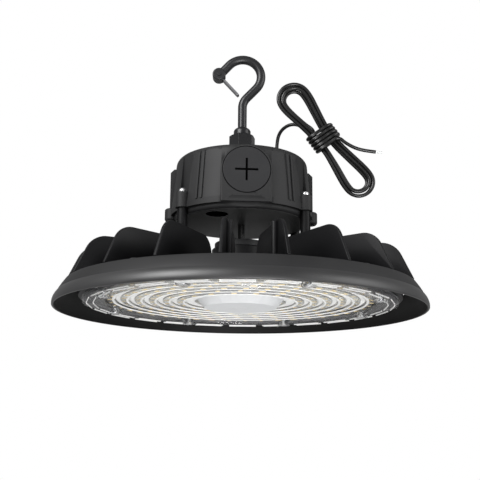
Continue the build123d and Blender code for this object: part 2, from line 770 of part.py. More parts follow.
def hook():
    """Round rod bent into a hook whose eye is centred over its stem, with a forked round end."""
    start_angle = neck_angle - 90.0
    tangent = (loop_radius * cos(radians(start_angle)),
               loop_centre_height + loop_radius * sin(radians(start_angle)))
    heading = (-cos(radians(neck_angle)), -sin(radians(neck_angle)))
    run = tangent[0] / -heading[0]
    corner = (0.0, tangent[1] + run * heading[1])
    trim = neck_bend_radius * tan(radians(90.0 - neck_angle) / 2)
    bend_low = (0.0, corner[1] - trim)
    bend_high = (-heading[0] * trim, corner[1] - heading[1] * trim)
    top = (0.0, loop_centre_height + loop_radius)
    end = (loop_radius * cos(radians(loop_end_angle)),
           loop_centre_height + loop_radius * sin(radians(loop_end_angle)))
    tip = knob_centre()
    stem = Line((0, hook_foot_height), bend_low)
    bend = TangentArc(bend_low, bend_high, tangent=(0, 1))
    neck = Line(bend_high, tangent)
    loop = ThreePointArc(tangent, top, end)
    arm = Line(end, tip)
    path = Plane.XZ * (stem + bend + neck + loop + arm)
    section = Plane((0, 0, hook_foot_height), z_dir=(0, 0, 1)) * Circle(rod_radius)
    body = sweep(section, path=path)
    knob = upright_disc(knob_radius, knob_width, tip)
    knob = fillet(knob.edges().filter_by(GeomType.CIRCLE), 1.2)
    body += knob
    slot_width = latch_width + 2 * latch_side_gap
    clear = latch_barrel_radius + latch_barrel_clearance
    slot = upright_disc(clear, slot_width, tip)
    sweep_low = latch_rest_angle - latch_swing_margin
    sweep_high = latch_rest_angle + latch_opening_angle + latch_swing_margin
    reach = 3.0 * knob_radius
    wedge = Polyline(
        tip,
        (tip[0] + reach * cos(radians(sweep_low)), tip[1] + reach * sin(radians(sweep_low))),
        (tip[0] + reach * cos(radians(sweep_high)), tip[1] + reach * sin(radians(sweep_high))),
        close=True,
    )
    slot += extrude(Plane.XZ * make_face(wedge), slot_width / 2, both=True)
    body -= slot
    body -= upright_disc(latch_pin_radius, 3 * knob_width, tip)
    return body


def upright_disc(radius, width, centre):
    """Cylinder that lies along Y, centred on an X and height."""
    return Pos(centre[0], 0, centre[1]) * Rot(90, 0, 0) * Cylinder(radius, width)


def latch():
    """Sheet leaf with a rolled barrel at its pin, which closes the hook's mouth."""
    centre = knob_centre()
    barrel = Cylinder(latch_barrel_radius, latch_width)
    leaf = Box(latch_length, latch_leaf_thickness, latch_width, align=(Align.MIN, Align.CENTER, Align.CENTER))
    leaf = fillet(leaf.edges().filter_by(Axis.Y).sort_by(Axis.X)[-2:], latch_width * 0.35)
    body = barrel + leaf
    body -= Cylinder(latch_pin_radius + seat_clearance, 2 * latch_width)
    body = Rot(90, 0, 0) * Rot(0, 0, latch_rest_angle) * body
    return Pos(centre[0], 0, centre[1]) * body


def latch_pin():
    """Rivet through the fork of the hook and the barrel of the latch."""
    centre = knob_centre()
    pin = Cylinder(latch_pin_radius, knob_width)
    for side in (-1, 1):
        pin += Pos(0, 0, side * (knob_width / 2 + latch_pin_head / 2)) * Cylinder(
            latch_pin_head_radius, latch_pin_head)
    return Pos(centre[0], 0, centre[1]) * Rot(90, 0, 0) * pin


def hook_collar():
    """Stepped collar nut on the hook's stem: a hexagon with a turned neck above it."""
    corner_radius = collar_flats / sqrt(3.0)
    hexagonal = hexagon(collar_flats, cover_boss_height, collar_hex_top + 2.0, turn=collar_turn - front_turn)
    crown = turned(Polyline((0, cover_boss_height), (corner_radius + 1.0, cover_boss_height),
                            (corner_radius + 1.0, collar_hex_top - 1.0),
                            (collar_neck_radius, collar_hex_top + 1.8),
                            (0, collar_hex_top + 1.8), close=True))
    collar = hexagonal & crown
    neck = turned(Polyline((0, collar_hex_top), (collar_neck_radius, collar_hex_top),
                           (collar_neck_radius, collar_neck_top - 1.6),
                           (collar_neck_radius - 0.8, collar_neck_top),
                           (rod_radius + 0.4, collar_neck_top + 2.0),
                           (0, collar_neck_top + 2.0), close=True))
    collar += neck
    return collar - rod(rod_radius + seat_clearance, 0, cut_length)


def lock_nut():
    """Nut that holds the hook's threaded foot inside the cover."""
    nut = hexagon(lock_nut_flats, ceiling_height - lock_nut_thickness, ceiling_height)
    return nut - rod(rod_radius + seat_clearance, 0, cut_length)


def cable_gland():
    """Hexagonal gland body screwed into the cover, with a neck that the dome nut closes."""
    seat = gland_seat_height()
    body = hexagon(gland_flats, seat, seat + gland_flange_height, gland_x, gland_y)
    body += rod(gland_neck_radius, cover_shoulder_height - 2.0, gland_body_top + 2.0, gland_x, gland_y)
    return body - rod(cord_diameter / 2 + seat_clearance, 0, cut_length, gland_x, gland_y)


def gland_nut():
    """Domed nut over the gland's neck, which grips the cord."""
    bottom = gland_seat_height() + gland_flange_height
    nut = rod(gland_nut_radius, bottom, gland_top, gland_x, gland_y)
    nut = fillet(nut.edges().group_by(Axis.Z)[-1], 3.0)
    nut = nut & hexagon(2 * gland_nut_radius * 0.95, bottom, gland_top, gland_x, gland_y)
    nut -= rod(gland_neck_radius + seat_clearance, bottom - 1.0, gland_body_top + 2.0 + seat_clearance,
               gland_x, gland_y)
    return nut - rod(cord_diameter / 2 + seat_clearance, bottom, gland_top + 1.0, gland_x, gland_y)


def hank_point(along, side, depth=0.0):
    """A point given along the hank's axis, to its side and in depth."""
    angle = radians(hank_angle)
    x = hank_centre_x + along * cos(angle) - side * sin(angle)
    z = hank_centre_height + along * sin(angle) + side * cos(angle)
    return x, depth, z


def lead_points():
    """Route of the cord from the gland to the hank, in the picture's own directions."""
    exit_x, exit_y = turned_place(gland_x, gland_y)
    entry = hank_point(wrap_start, lead_side, lead_plane)
    before = hank_point(wrap_start - 11.0, lead_side, lead_plane)
    return [
        (exit_x, exit_y, gland_top - 2.0),
        (exit_x, exit_y, 171.0),
        (36.8, 20.5, 181.0),
        (44.5, 14.5, 186.0),
        (53.2, 9.5, 185.2),
        before,
        entry,
    ]


def tail_points():
    """Route of the free end from the hank."""
    return [
        hank_point(wrap_end, tail_side, tail_plane),
        hank_point(wrap_end + 7.0, tail_side, tail_plane),
        (106.5, -6.0, 156.2),
        (116.5, -5.5, 153.7),
        (126.5, -5.0, 152.8),
    ]


def turned_place(x, y):
    """X and Y after the light is turned to its front's azimuth."""
    angle = radians(front_turn)
    return x * cos(angle) - y * sin(angle), x * sin(angle) + y * cos(angle)


def route(points):
    """Wire of straight runs joined by tangent arcs, each as large as its runs allow."""
    vectors = [Vector(*point) for point in points]
    radii = []
    for before, corner, after in zip(vectors, vectors[1:], vectors[2:]):
        run = min((corner - before).length, (after - corner).length)
        turn = (corner - before).get_angle(after - corner)
        radii.append(0.45 * run / tan(radians(turn) / 2))
    print("cord radii", [round(radius, 1) for radius in radii])
    return FilletPolyline(*vectors, radius=radii)


def cord_tube(points):
    """Round tube along a route."""
    path = route(points)
    section = Plane(origin=path @ 0, z_dir=path % 0) * Circle(cord_diameter / 2)
    body = sweep(section, path=path)
    expected = pi * (cord_diameter / 2) ** 2 * path.length
    print("cord tube", round(path.length, 1), "mm long, volume ratio", round(body.volume / expected, 3))
    return body


def cord_hank():
    """The outer shape of the tied hank: two rounded ends, a waist and its wraps."""
    upper = Pos(-hank_upper_reach, 0) * Circle(hank_upper_radius)
    lower = Pos(hank_lower_reach, 0) * Circle(hank_lower_radius)
    band = make_face(Polyline(
        (-hank_upper_reach, hank_upper_radius),
        (wrap_start, hank_waist),
        (wrap_end, hank_waist),
        (hank_lower_reach, hank_lower_radius),
        (hank_lower_reach, -hank_lower_radius),
        (wrap_end, -hank_waist),
        (wrap_start, -hank_waist),
        (-hank_upper_reach, -hank_upper_radius),
        close=True,
    ))
    strands = extrude(upper + lower + band, hank_thickness / 2, both=True)
    wraps = Box(wrap_end - wrap_start, 2 * wrap_half_width, 2 * wrap_half_thickness)
    wraps = fillet(wraps.edges().filter_by(Axis.X), wrap_round)
    body = strands + Pos((wrap_start + wrap_end) / 2, 0, 0) * wraps
    frame = Plane(origin=(hank_centre_x, 0, hank_centre_height),
                  x_dir=(cos(radians(hank_angle)), 0, sin(radians(hank_angle))), z_dir=(0, -1, 0))
    return frame * body


def wire_ends():
    """Stripped ends of the three conductors, side by side."""
    points = [Vector(*point) for point in tail_points()]
    heading = (points[-1] - points[-2]).normalized()
    ends = []
    for index in (-1, 0, 1):
        start = points[-1] + heading * seat_clearance + Vector(0, index * 2.1 * wire_end_radius, 0)
        plane = Plane(origin=start, z_dir=heading)
        ends.append(plane * Cylinder(wire_end_radius, wire_end_length,
                                     align=(Align.CENTER, Align.CENTER, Align.MIN)))
    return ends


def write(name, shape, turn=front_turn):
    """Turn a sub-part with the light, move the hook's seat to the origin and write it."""
    solids = shape if isinstance(shape, list) else [shape]
    moved = [Pos(0, 0, -hook_seat_height) * Rot(0, 0, turn) * solid for solid in solids]
    body = moved[0] if len(moved) == 1 else Compound(children=moved)
    export_step(body, f"parts/{name}.step")


os.makedirs("parts", exist_ok=True)
write("shade_ring", shade_ring())
write("ring_screws", ring_screws())
write("heat_sink", heat_sink())
write("led_board", led_board())
write("led_chips", led_chips())
write("lens", lens())
write("lens_gasket", lens_gasket())
write("lens_screws", lens_screws())
write("driver_base", driver_base())
write("breather_plug", breather_plug())
write("cover_gasket", cover_gasket())
write("driver_cover", driver_cover())
write("cover_screws", cover_screws())
write("port_plug", port_plug())
write("port_seal", port_seal())
write("driver_board", driver_board())
write("transformer", transformer())
write("capacitors", capacitors())
write("light_lead", light_lead())
write("hook", hook(), turn=0.0)
write("latch", latch(), turn=0.0)
write("latch_pin", latch_pin(), turn=0.0)
write("hook_collar", hook_collar())
write("lock_nut", lock_nut())
write("cable_gland", cable_gland())
write("gland_nut", gland_nut())
write("cord_lead", cord_tube(lead_points()), turn=0.0)
write("cord_hank", cord_hank(), turn=0.0)
write("cord_tail", cord_tube(tail_points()), turn=0.0)
write("wire_ends", wire_ends(), turn=0.0)
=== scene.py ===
# %% [markdown]
# # A round high bay light, dressed around its CAD frame
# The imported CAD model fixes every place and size. This lesson loads it, keeps the solids that
# nobody sees, and makes the visible pieces again with softer edges and real finishes.
# Work in the CAD's own frame: metres, with the hook's bearing point at the origin.

# %% Load the frame
import json
from math import atan2, cos, degrees, pi, radians, sin, sqrt, tan

import bmesh
import bpy
from mathutils import Matrix, Vector

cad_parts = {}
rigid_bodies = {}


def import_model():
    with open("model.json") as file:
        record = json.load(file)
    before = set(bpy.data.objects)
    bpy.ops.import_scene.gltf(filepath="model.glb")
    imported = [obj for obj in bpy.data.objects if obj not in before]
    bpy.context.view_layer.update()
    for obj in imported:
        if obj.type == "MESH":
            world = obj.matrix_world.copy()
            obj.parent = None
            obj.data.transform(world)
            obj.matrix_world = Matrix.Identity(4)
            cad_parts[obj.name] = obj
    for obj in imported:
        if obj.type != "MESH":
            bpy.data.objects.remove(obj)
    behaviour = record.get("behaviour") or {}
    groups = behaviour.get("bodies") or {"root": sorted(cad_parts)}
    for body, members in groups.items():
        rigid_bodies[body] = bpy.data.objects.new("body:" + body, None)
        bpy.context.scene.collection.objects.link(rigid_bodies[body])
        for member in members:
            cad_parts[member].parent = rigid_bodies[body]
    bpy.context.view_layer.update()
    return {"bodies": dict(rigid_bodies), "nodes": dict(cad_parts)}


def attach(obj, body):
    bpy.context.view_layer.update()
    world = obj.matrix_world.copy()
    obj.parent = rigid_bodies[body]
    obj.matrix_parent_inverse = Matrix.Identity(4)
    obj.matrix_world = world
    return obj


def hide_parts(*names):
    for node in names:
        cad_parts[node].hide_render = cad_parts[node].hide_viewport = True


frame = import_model()
for leftover in list(bpy.context.scene.objects):
    if leftover.name not in frame["nodes"] and leftover not in frame["bodies"].values():
        bpy.data.objects.remove(leftover)

# %% [markdown]
# ## Units and the light's own front
# The drawing is in millimetres above the shade's lip. One helper turns such a point into the
# frame's metres. The casting was screwed together 3.8 degrees off the picture's front, so
# pieces that repeat round the axis start from that turned front.

# %% Places
MM = 0.001
SEAT_HEIGHT = 242.85
FRONT_TURN = 3.8
FRONT = 270.0 + FRONT_TURN
TO_FRONT = Matrix.Rotation(radians(FRONT_TURN), 3, "Z")
FIN_COUNT = 19
GAP_ANGLE = 360.0 / FIN_COUNT


def at(x, y, height):
    """A point in the frame, from millimetres and a height above the lip."""
    return Vector((x * MM, y * MM, (height - SEAT_HEIGHT) * MM))


def around(radius, azimuth, height):
    """A point at a radius and an azimuth about the light's axis."""
    return at(radius * cos(radians(azimuth)), radius * sin(radians(azimuth)), height)


def arc(centre_x, centre_y, radius, angles):
    """Points on a circle in a drawing, at angles in degrees."""
    return [(centre_x + radius * cos(radians(angle)), centre_y + radius * sin(radians(angle)))
            for angle in angles]


print("lip at", round(at(0, 0, 0).z, 4), "m below the hook's seat")

# %% [markdown]
# ## From faces to a finished piece
# Each mesh is built once, given its finish, and told which body it rides on. Shading is smooth
# across a curve and stays sharp at a real edge, which is set by the angle between two faces.

# %% Helpers for pieces
BODY = "fixture"
SHARP_ANGLE = 34.0
MERGE_DISTANCE = 0.004
FLAT_ANGLE = 0.6


def piece(name, mesh_data, *materials):
    """A new object at the origin, shaded smooth except at its edges."""
    if isinstance(mesh_data, bmesh.types.BMesh):
        data = bpy.data.meshes.new(name)
        mesh_data.to_mesh(data)
        mesh_data.free()
    else:
        data = mesh_data
        data.name = name
    data.shade_smooth()
    data.set_sharp_from_angle(angle=radians(SHARP_ANGLE))
    obj = bpy.data.objects.new(name, data)
    bpy.context.scene.collection.objects.link(obj)
    if materials:
        data.materials.clear()
        for material in materials:
            data.materials.append(material)
    return obj


def settled(obj, sharpen=True):
    """Turn an object's modifiers into plain mesh."""
    evaluated = obj.evaluated_get(bpy.context.evaluated_depsgraph_get())
    data = bpy.data.meshes.new_from_object(evaluated)
    obj.modifiers.clear()
    obj.data = data
    if sharpen:
        data.set_sharp_from_angle(angle=radians(SHARP_ANGLE))
    return obj


def mounted(obj, slot, *nodes, body=BODY):
    """Let a piece ride on its body and stand for its CAD nodes. The slot is not used."""
    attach(obj, body)
    if nodes:
        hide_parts(*nodes)
    print(obj.name, len(obj.data.polygons) if obj.type == "MESH" else "curve", "faces for", nodes)
    return obj


# %% [markdown]
# Most of this light is turned on a lathe, or is a plate of some thickness. Both start from an
# outline in millimetres. A third number at a corner rounds it, because a cast or moulded piece
# has no sharp corner.

# %% Shapes from outlines
def eased(corners, steps=4):
    """A closed outline whose corners (x, y, rounding) become short arcs."""
    outline = []
    for before, corner, after in zip(corners[-1:] + corners[:-1], corners, corners[1:] + corners[:1]):
        point, rounding = Vector(corner[:2]), corner[2] if len(corner) > 2 else 0.0
        if not rounding:
            outline.append(tuple(point))
            continue
        back = (Vector(before[:2]) - point).normalized()
        ahead = (Vector(after[:2]) - point).normalized()
        half = back.angle(ahead) / 2
        centre = point + (back + ahead).normalized() * rounding / sin(half)
        start = point + back * rounding / tan(half) - centre
        end = point + ahead * rounding / tan(half) - centre
        for step in range(steps + 1):
            outline.append(tuple(centre + start.lerp(end, step / steps).normalized() * rounding))
    return outline


def lathe(outline, steps):
    """Turn a closed outline of (radius, height) about the light's axis."""
    mesh = bmesh.new()
    rings = []
    for radius, height in outline:
        count = 1 if radius < 1e-6 else steps
        rings.append([mesh.verts.new(at(radius * cos(2 * pi * i / steps),
                                        radius * sin(2 * pi * i / steps), height))
                      for i in range(count)])
    for ring, following in zip(rings, rings[1:] + rings[:1]):
        for i in range(steps if len(ring) + len(following) > 2 else 0):
            j = i + 1
            loop = [ring[i % len(ring)], ring[j % len(ring)],
                    following[j % len(following)], following[i % len(following)]]
            mesh.faces.new(list(dict.fromkeys(loop)))
    bmesh.ops.recalc_face_normals(mesh, faces=mesh.faces)
    return mesh


def raised_solid(points, way):
    """A closed solid: the flat face through some points, raised by a vector."""
    mesh = bmesh.new()
    face = mesh.faces.new([mesh.verts.new(point) for point in points])
    raised = bmesh.ops.extrude_face_region(mesh, geom=[face])
    verts = [item for item in raised["geom"] if isinstance(item, bmesh.types.BMVert)]
    bmesh.ops.translate(mesh, verts=verts, vec=way)
    bmesh.ops.recalc_face_normals(mesh, faces=mesh.faces)
    return mesh


def plate(outline, thickness, rounding=0.0, segments=2):
    """Raise an outline seen from the front (x, height) along Y, with rounded edges."""
    mesh = raised_solid([at(x, -thickness / 2, height) for x, height in outline],
                        (0, thickness * MM, 0))
    if rounding:
        caps = [f for f in mesh.faces if len(f.verts) == len(outline)]
        rims = list({edge for cap in caps for edge in cap.edges})
        bmesh.ops.bevel(mesh, geom=rims, offset=rounding * MM, segments=segments, profile=0.5,
                        affect="EDGES", clamp_overlap=True)
    return mesh


def flat_plate(outline, bottom, top, rounding):
    """Raise an outline seen from above between two heights, with a rounded top edge."""
    mesh = raised_solid([at(x, y, bottom) for x, y in outline], (0, 0, (top - bottom) * MM))
    if rounding:
        top_z = at(0, 0, top).z
        rim = [edge for edge in mesh.edges if all(abs(vert.co.z - top_z) < 1e-7 for vert in edge.verts)]
        bmesh.ops.bevel(mesh, geom=rim, offset=rounding * MM, segments=2, profile=0.5, affect="EDGES")
    return mesh


round_square = eased([(0, 0, 1), (4, 0, 1), (4, 4, 1), (0, 4, 1)])
print("a square with rounded corners has", len(round_square), "points")


# %% [markdown]
# Some pieces have a form that is easier to take from the CAD than to draw again. A copy of such
# a mesh is joined up and its flat triangles are merged. Then a Bevel rounds its hard edges, and
# weighted normals keep its large faces looking flat.

# %% Pieces from the CAD's meshes
def cut_by(obj, cutter):
    """Take a cutter's solid out of an object."""
    cut = obj.modifiers.new("cut", "BOOLEAN")
    cut.object = cutter
    cut.solver = "EXACT"
    settled(obj)


def softened(node, name, width, *materials, segments=2, angle=30.0, cutters=()):
    """A copy of a CAD node's mesh, joined up, cut if need be, with its hard edges rounded."""
    mesh = bmesh.new()
    mesh.from_mesh(frame["nodes"][node].data)
    bmesh.ops.remove_doubles(mesh, verts=mesh.verts, dist=MERGE_DISTANCE * MM)
    bmesh.ops.dissolve_limit(mesh, angle_limit=radians(FLAT_ANGLE), verts=mesh.verts, edges=mesh.edges)
    obj = piece(name, mesh, *materials)
    for cutter in cutters:
        cut_by(obj, cutter)
    obj.data.shade_smooth()
    bevel = obj.modifiers.new("rounded edges", "BEVEL")
    bevel.width = width * MM
    bevel.segments = segments
    bevel.limit_method = "ANGLE"
    bevel.angle_limit = radians(angle)
    bevel.use_clamp_overlap = True
    weighted = obj.modifiers.new("flat faces stay flat", "WEIGHTED_NORMAL")
    weighted.weight = 90
    return settled(obj, sharpen=False)


# %% [markdown]
# ## Copies by Geometry Nodes
# A light like this is made of repeats: 19 fins, posts, screws and rings of chips. One small
# node tree sets copies of a piece on points, each turned about the upright axis, and a second
# makes equal steps round the axis. Both end in Realize Instances and Set Material, because an
# export keeps only real mesh. The result is baked to a plain mesh and the modifier is removed.

# %% Node trees for copies
def new_tree(name, sockets):
    """A geometry tree with a geometry input, named inputs and a geometry output."""
    tree = bpy.data.node_groups.new(name, "GeometryNodeTree")
    tree.interface.new_socket("Geometry", in_out="INPUT", socket_type="NodeSocketGeometry")
    for label, kind in sockets:
        tree.interface.new_socket(label, in_out="INPUT", socket_type=kind)
    tree.interface.new_socket("Geometry", in_out="OUTPUT", socket_type="NodeSocketGeometry")
    return tree, tree.nodes.new("NodeGroupInput"), tree.nodes.new("NodeGroupOutput")


def steps_round_axis():
    """Copies of the incoming mesh, turned about the axis in equal steps."""
    tree, given, result = new_tree("steps round the axis", [
        ("Count", "NodeSocketInt"), ("First", "NodeSocketFloat"),
        ("Step", "NodeSocketFloat"), ("Material", "NodeSocketMaterial")])
    points = tree.nodes.new("GeometryNodePoints")
    index = tree.nodes.new("GeometryNodeInputIndex")
    angle = tree.nodes.new("ShaderNodeMath")
    angle.operation = "MULTIPLY_ADD"
    turn = tree.nodes.new("ShaderNodeCombineXYZ")
    copies = tree.nodes.new("GeometryNodeInstanceOnPoints")
    real = tree.nodes.new("GeometryNodeRealizeInstances")
    paint = tree.nodes.new("GeometryNodeSetMaterial")
    link = tree.links.new
    link(given.outputs["Count"], points.inputs["Count"])
    link(index.outputs[0], angle.inputs[0])
    link(given.outputs["Step"], angle.inputs[1])
    link(given.outputs["First"], angle.inputs[2])
    link(angle.outputs[0], turn.inputs["Z"])
    link(points.outputs[0], copies.inputs["Points"])
    link(given.outputs["Geometry"], copies.inputs["Instance"])
    link(turn.outputs[0], copies.inputs["Rotation"])
    link(copies.outputs[0], real.inputs[0])
    link(real.outputs[0], paint.inputs["Geometry"])
    link(given.outputs["Material"], paint.inputs["Material"])
    link(paint.outputs[0], result.inputs[0])
    return tree


def set_on_points():
    """Copies of a unit on the incoming mesh's points, each turned by the point's own angle."""
    tree, given, result = new_tree("set on points", [
        ("Unit", "NodeSocketObject"), ("Material", "NodeSocketMaterial")])
    unit = tree.nodes.new("GeometryNodeObjectInfo")
    angle = tree.nodes.new("GeometryNodeInputNamedAttribute")
    angle.data_type = "FLOAT"
    angle.inputs["Name"].default_value = "turn"
    turn = tree.nodes.new("ShaderNodeCombineXYZ")
    copies = tree.nodes.new("GeometryNodeInstanceOnPoints")
    real = tree.nodes.new("GeometryNodeRealizeInstances")
    paint = tree.nodes.new("GeometryNodeSetMaterial")
    link = tree.links.new
    link(given.outputs["Unit"], unit.inputs["Object"])
    link(given.outputs["Geometry"], copies.inputs["Points"])
    link(unit.outputs["Geometry"], copies.inputs["Instance"])
    link(angle.outputs[0], turn.inputs["Z"])
    link(turn.outputs[0], copies.inputs["Rotation"])
    link(copies.outputs[0], real.inputs[0])
    link(real.outputs[0], paint.inputs["Geometry"])
    link(given.outputs["Material"], paint.inputs["Material"])
    link(paint.outputs[0], result.inputs[0])
    return tree


ROUND_TREE = steps_round_axis()
POINT_TREE = set_on_points()


def run_tree(obj, tree, material, **values):
    """Run a tree on an object, keep the result as its mesh and drop the modifier."""
    modifier = obj.modifiers.new(tree.name, "NODES")
    modifier.node_group = tree
    values = {**values, "Material": material}
    for item in tree.interface.items_tree:
        if item.item_type == "SOCKET" and item.in_out == "INPUT" and item.name in values:
            modifier[item.identifier] = values[item.name]
    settled(obj)
    obj.data.materials.clear()
    obj.data.materials.append(material)
    return obj


def turned_copies(name, mesh, material, count, first):
    """Copies of a mesh that was drawn along +X, in equal steps from a first azimuth."""
    obj = piece(name, mesh)
    return run_tree(obj, ROUND_TREE, material, Count=count, First=radians(first),
                    Step=radians(360.0 / count))


def copies_on(name, unit_mesh, material, places):
    """Copies of a unit drawn at the frame's origin, on (point, angle in degrees) places."""
    points = bpy.data.meshes.new(name)
    points.from_pydata([tuple(point) for point, _ in places], [], [])
    points.attributes.new("turn", "FLOAT", "POINT").data.foreach_set(
        "value", [radians(angle) for _, angle in places])
    obj = bpy.data.objects.new(name, points)
    bpy.context.scene.collection.objects.link(obj)
    unit = piece(name + "_unit", unit_mesh)
    run_tree(obj, POINT_TREE, material, Unit=unit)
    bpy.data.objects.remove(unit)
    return obj


print("trees", [tree.name for tree in (ROUND_TREE, POINT_TREE)])

# %% [markdown]
# ## Finishes
# Nearly everything is black, so the finishes must differ in grain and gloss, not in hue. The
# castings wear a matt powder coat with a fine orange-peel grain. The hook has a smoother coat,
# the moulded parts a faint spark texture, and the cord a soft shine. Every pattern reads Object
# coordinates, so that it is the same size on each piece and stays put.

# %% Material helpers
NOISE_DETAIL = 2.0
DRIFT_SCALE = 18.0
GLOSS_DRIFT = 0.05


def finish_nodes(name, color, roughness, metallic=0.0):
    """A Principled material with its colour, and what builds its texture."""
    material = bpy.data.materials.new(name)
    material.use_nodes = True
    nodes, links = material.node_tree.nodes, material.node_tree.links
    shader = next(node for node in nodes if node.type == "BSDF_PRINCIPLED")
    shader.inputs["Base Color"].default_value = (*color, 1.0)
    shader.inputs["Roughness"].default_value = roughness
    shader.inputs["Metallic"].default_value = metallic
    place = nodes.new("ShaderNodeTexCoord").outputs["Object"]
    return material, nodes, links, shader, place


def noise_of(nodes, links, place, scale):
    """A noise pattern with a number of grains per metre."""
    noise = nodes.new("ShaderNodeTexNoise")
    noise.inputs["Scale"].default_value = scale
    noise.inputs["Detail"].default_value = NOISE_DETAIL
    links.new(place, noise.inputs["Vector"])
    return noise.outputs["Fac"]


def spread(nodes, links, source, low, high):
    """The pattern's middle range, stretched to low and high."""
    ranged = nodes.new("ShaderNodeMapRange")
    ranged.inputs["From Min"].default_value = 0.3
    ranged.inputs["From Max"].default_value = 0.7
    ranged.inputs["To Min"].default_value = low
    ranged.inputs["To Max"].default_value = high
    links.new(source, ranged.inputs["Value"])
    return ranged.outputs["Result"]


def two_tone(nodes, links, source, dark, light):
    """A colour that drifts between two tones with the pattern."""
    mix = nodes.new("ShaderNodeMix")
    mix.data_type = "RGBA"
    mix.inputs["A"].default_value = (*dark, 1.0)
    mix.inputs["B"].default_value = (*light, 1.0)
    links.new(source, mix.inputs["Factor"])
    return mix.outputs["Result"]


def stand_up(nodes, links, shader, pattern, strength, depth):
    """Let a pattern stand up from the surface, by a depth in millimetres."""
    bump = nodes.new("ShaderNodeBump")
    bump.inputs["Strength"].default_value = strength
    bump.inputs["Distance"].default_value = depth * MM
    links.new(pattern, bump.inputs["Height"])
    links.new(bump.outputs[0], shader.inputs["Normal"])


def grained(name, dark, light, roughness, grain, depth, metallic=0.0, shine=0.5):
    """A coat: colour and gloss drift slowly, and a fine grain stands up from the surface."""
    material, nodes, links, shader, place = finish_nodes(name, dark, roughness, metallic)
    shader.inputs["Specular IOR Level"].default_value = shine
    slow = noise_of(nodes, links, place, DRIFT_SCALE)
    fine = noise_of(nodes, links, place, grain)
    links.new(two_tone(nodes, links, spread(nodes, links, slow, 0.0, 1.0), dark, light),
              shader.inputs["Base Color"])
    links.new(spread(nodes, links, slow, roughness - GLOSS_DRIFT, roughness + GLOSS_DRIFT),
              shader.inputs["Roughness"])
    stand_up(nodes, links, shader, fine, 0.35, depth)
    return material


# %% The coats and metals
powder_coat = grained("black_powder_coat", (0.009, 0.009, 0.0095), (0.013, 0.013, 0.0135),
                      0.58, 1400.0, 0.02, shine=0.30)
# A darker, duller copy of the powder coat: painted shade for the disc, fins, pillars and posts, which stand
# in each other's shade.
casting_painted_shade_coat = grained("black_casting_painted_shade_coat", (0.004, 0.004, 0.0045), (0.006, 0.006, 0.0065),
                       0.46, 1400.0, 0.02, shine=0.15)
# A lighter, glossier copy of the powder coat: painted light on the skirt's lower band.
skirt_painted_light_coat = grained("black_skirt_painted_light_coat", (0.010, 0.010, 0.0105), (0.014, 0.014, 0.0145),
                     0.44, 1400.0, 0.02, shine=0.60)
# A much lighter copy of the powder coat: painted light on the pan's underside.
pan_painted_light_coat = grained("black_pan_painted_light_coat", (0.075, 0.075, 0.076), (0.090, 0.090, 0.091), 0.5, 1400.0, 0.02)
# Near black: painted shade on the inside of the skirt.
skirt_inside_painted_shade = grained("black_skirt_inside_painted_shade", (0.004, 0.004, 0.004), (0.006, 0.006, 0.006),
                       0.6, 1400.0, 0.02, shine=0.15)
hook_coat = grained("black_hook_coat", (0.006, 0.006, 0.007), (0.009, 0.009, 0.010),
                    0.34, 2400.0, 0.004, shine=0.35)
moulded_black = grained("moulded_black", (0.010, 0.010, 0.011), (0.014, 0.014, 0.015),
                        0.50, 1800.0, 0.02, shine=0.28)
# Near black: painted shade for recesses, the plug's cross, the groove and the breather.
painted_recess_shade = grained("painted_recess_shade", (0.001, 0.001, 0.001), (0.002, 0.002, 0.002),
                       0.9, 900.0, 0.01, shine=0.0)
bright_plate = grained("bright_plated_steel", (0.80, 0.80, 0.81), (0.88, 0.88, 0.89),
                       0.26, 400.0, 0.01, 1.0)
leaf_steel = grained("leaf_steel", (0.16, 0.16, 0.17), (0.22, 0.22, 0.23), 0.34, 300.0, 0.01, 1.0)
silicone = grained("grey_silicone", (0.08, 0.08, 0.085), (0.10, 0.10, 0.105), 0.6, 500.0, 0.02)
jacket = grained("cord_jacket", (0.005, 0.005, 0.005), (0.008, 0.008, 0.008),
                 0.27, 1800.0, 0.003, shine=0.4)
tinned = grained("tinned_copper", (0.50, 0.53, 0.52), (0.62, 0.65, 0.64), 0.4, 700.0, 0.01, 1.0)
green_board = grained("green_board", (0.02, 0.09, 0.04), (0.03, 0.11, 0.05), 0.4, 300.0, 0.01)
ferrite = grained("ferrite_core", (0.05, 0.05, 0.05), (0.08, 0.08, 0.08), 0.7, 500.0, 0.03)
sleeve = grained("can_sleeve", (0.02, 0.02, 0.03), (0.03, 0.03, 0.045), 0.3, 200.0, 0.01)
white_mask = grained("white_solder_mask", (0.74, 0.74, 0.71), (0.80, 0.80, 0.77), 0.42, 260.0, 0.01)
package_white = grained("chip_package", (0.80, 0.79, 0.74), (0.86, 0.85, 0.80), 0.4, 900.0, 0.01)
phosphor = grained("chip_phosphor", (0.86, 0.56, 0.16), (0.92, 0.66, 0.24), 0.3, 1500.0, 0.01)
print("finishes", len(bpy.data.materials))


# %% [markdown]
# The lens is one clear moulding with several looks. Its ridges are polished, their steep walls
# get a dark painted reflection, and its middle well is sandblasted so that it hides what is
# behind it. Three of its finishes are painted light: a white painted highlight, a dark painted
# reflection and a warm painted image of the chips. All six finishes are one shader with its own
# tint, roughness and clearness. Alpha lets part of each surface through plainly, which keeps
# the board behind as bright as in daylight.

# %% Finishes of the lens
ROUGHNESS_DRIFT = 0.2


def clear_plastic(name, color, roughness, transmission, alpha, grain, depth):
    """Polycarbonate: gloss on top, what is behind it below."""
    material, nodes, links, shader, place = finish_nodes(name, color, roughness)
    shader.inputs["IOR"].default_value = 1.49
    shader.inputs["Transmission Weight"].default_value = transmission
    shader.inputs["Alpha"].default_value = alpha
    fine = noise_of(nodes, links, place, grain)
    smooth, rough = roughness * (1.0 - ROUGHNESS_DRIFT), roughness * (1.0 + ROUGHNESS_DRIFT)
    links.new(spread(nodes, links, fine, smooth, rough), shader.inputs["Roughness"])
    stand_up(nodes, links, shader, fine, 0.3, depth)
    return material


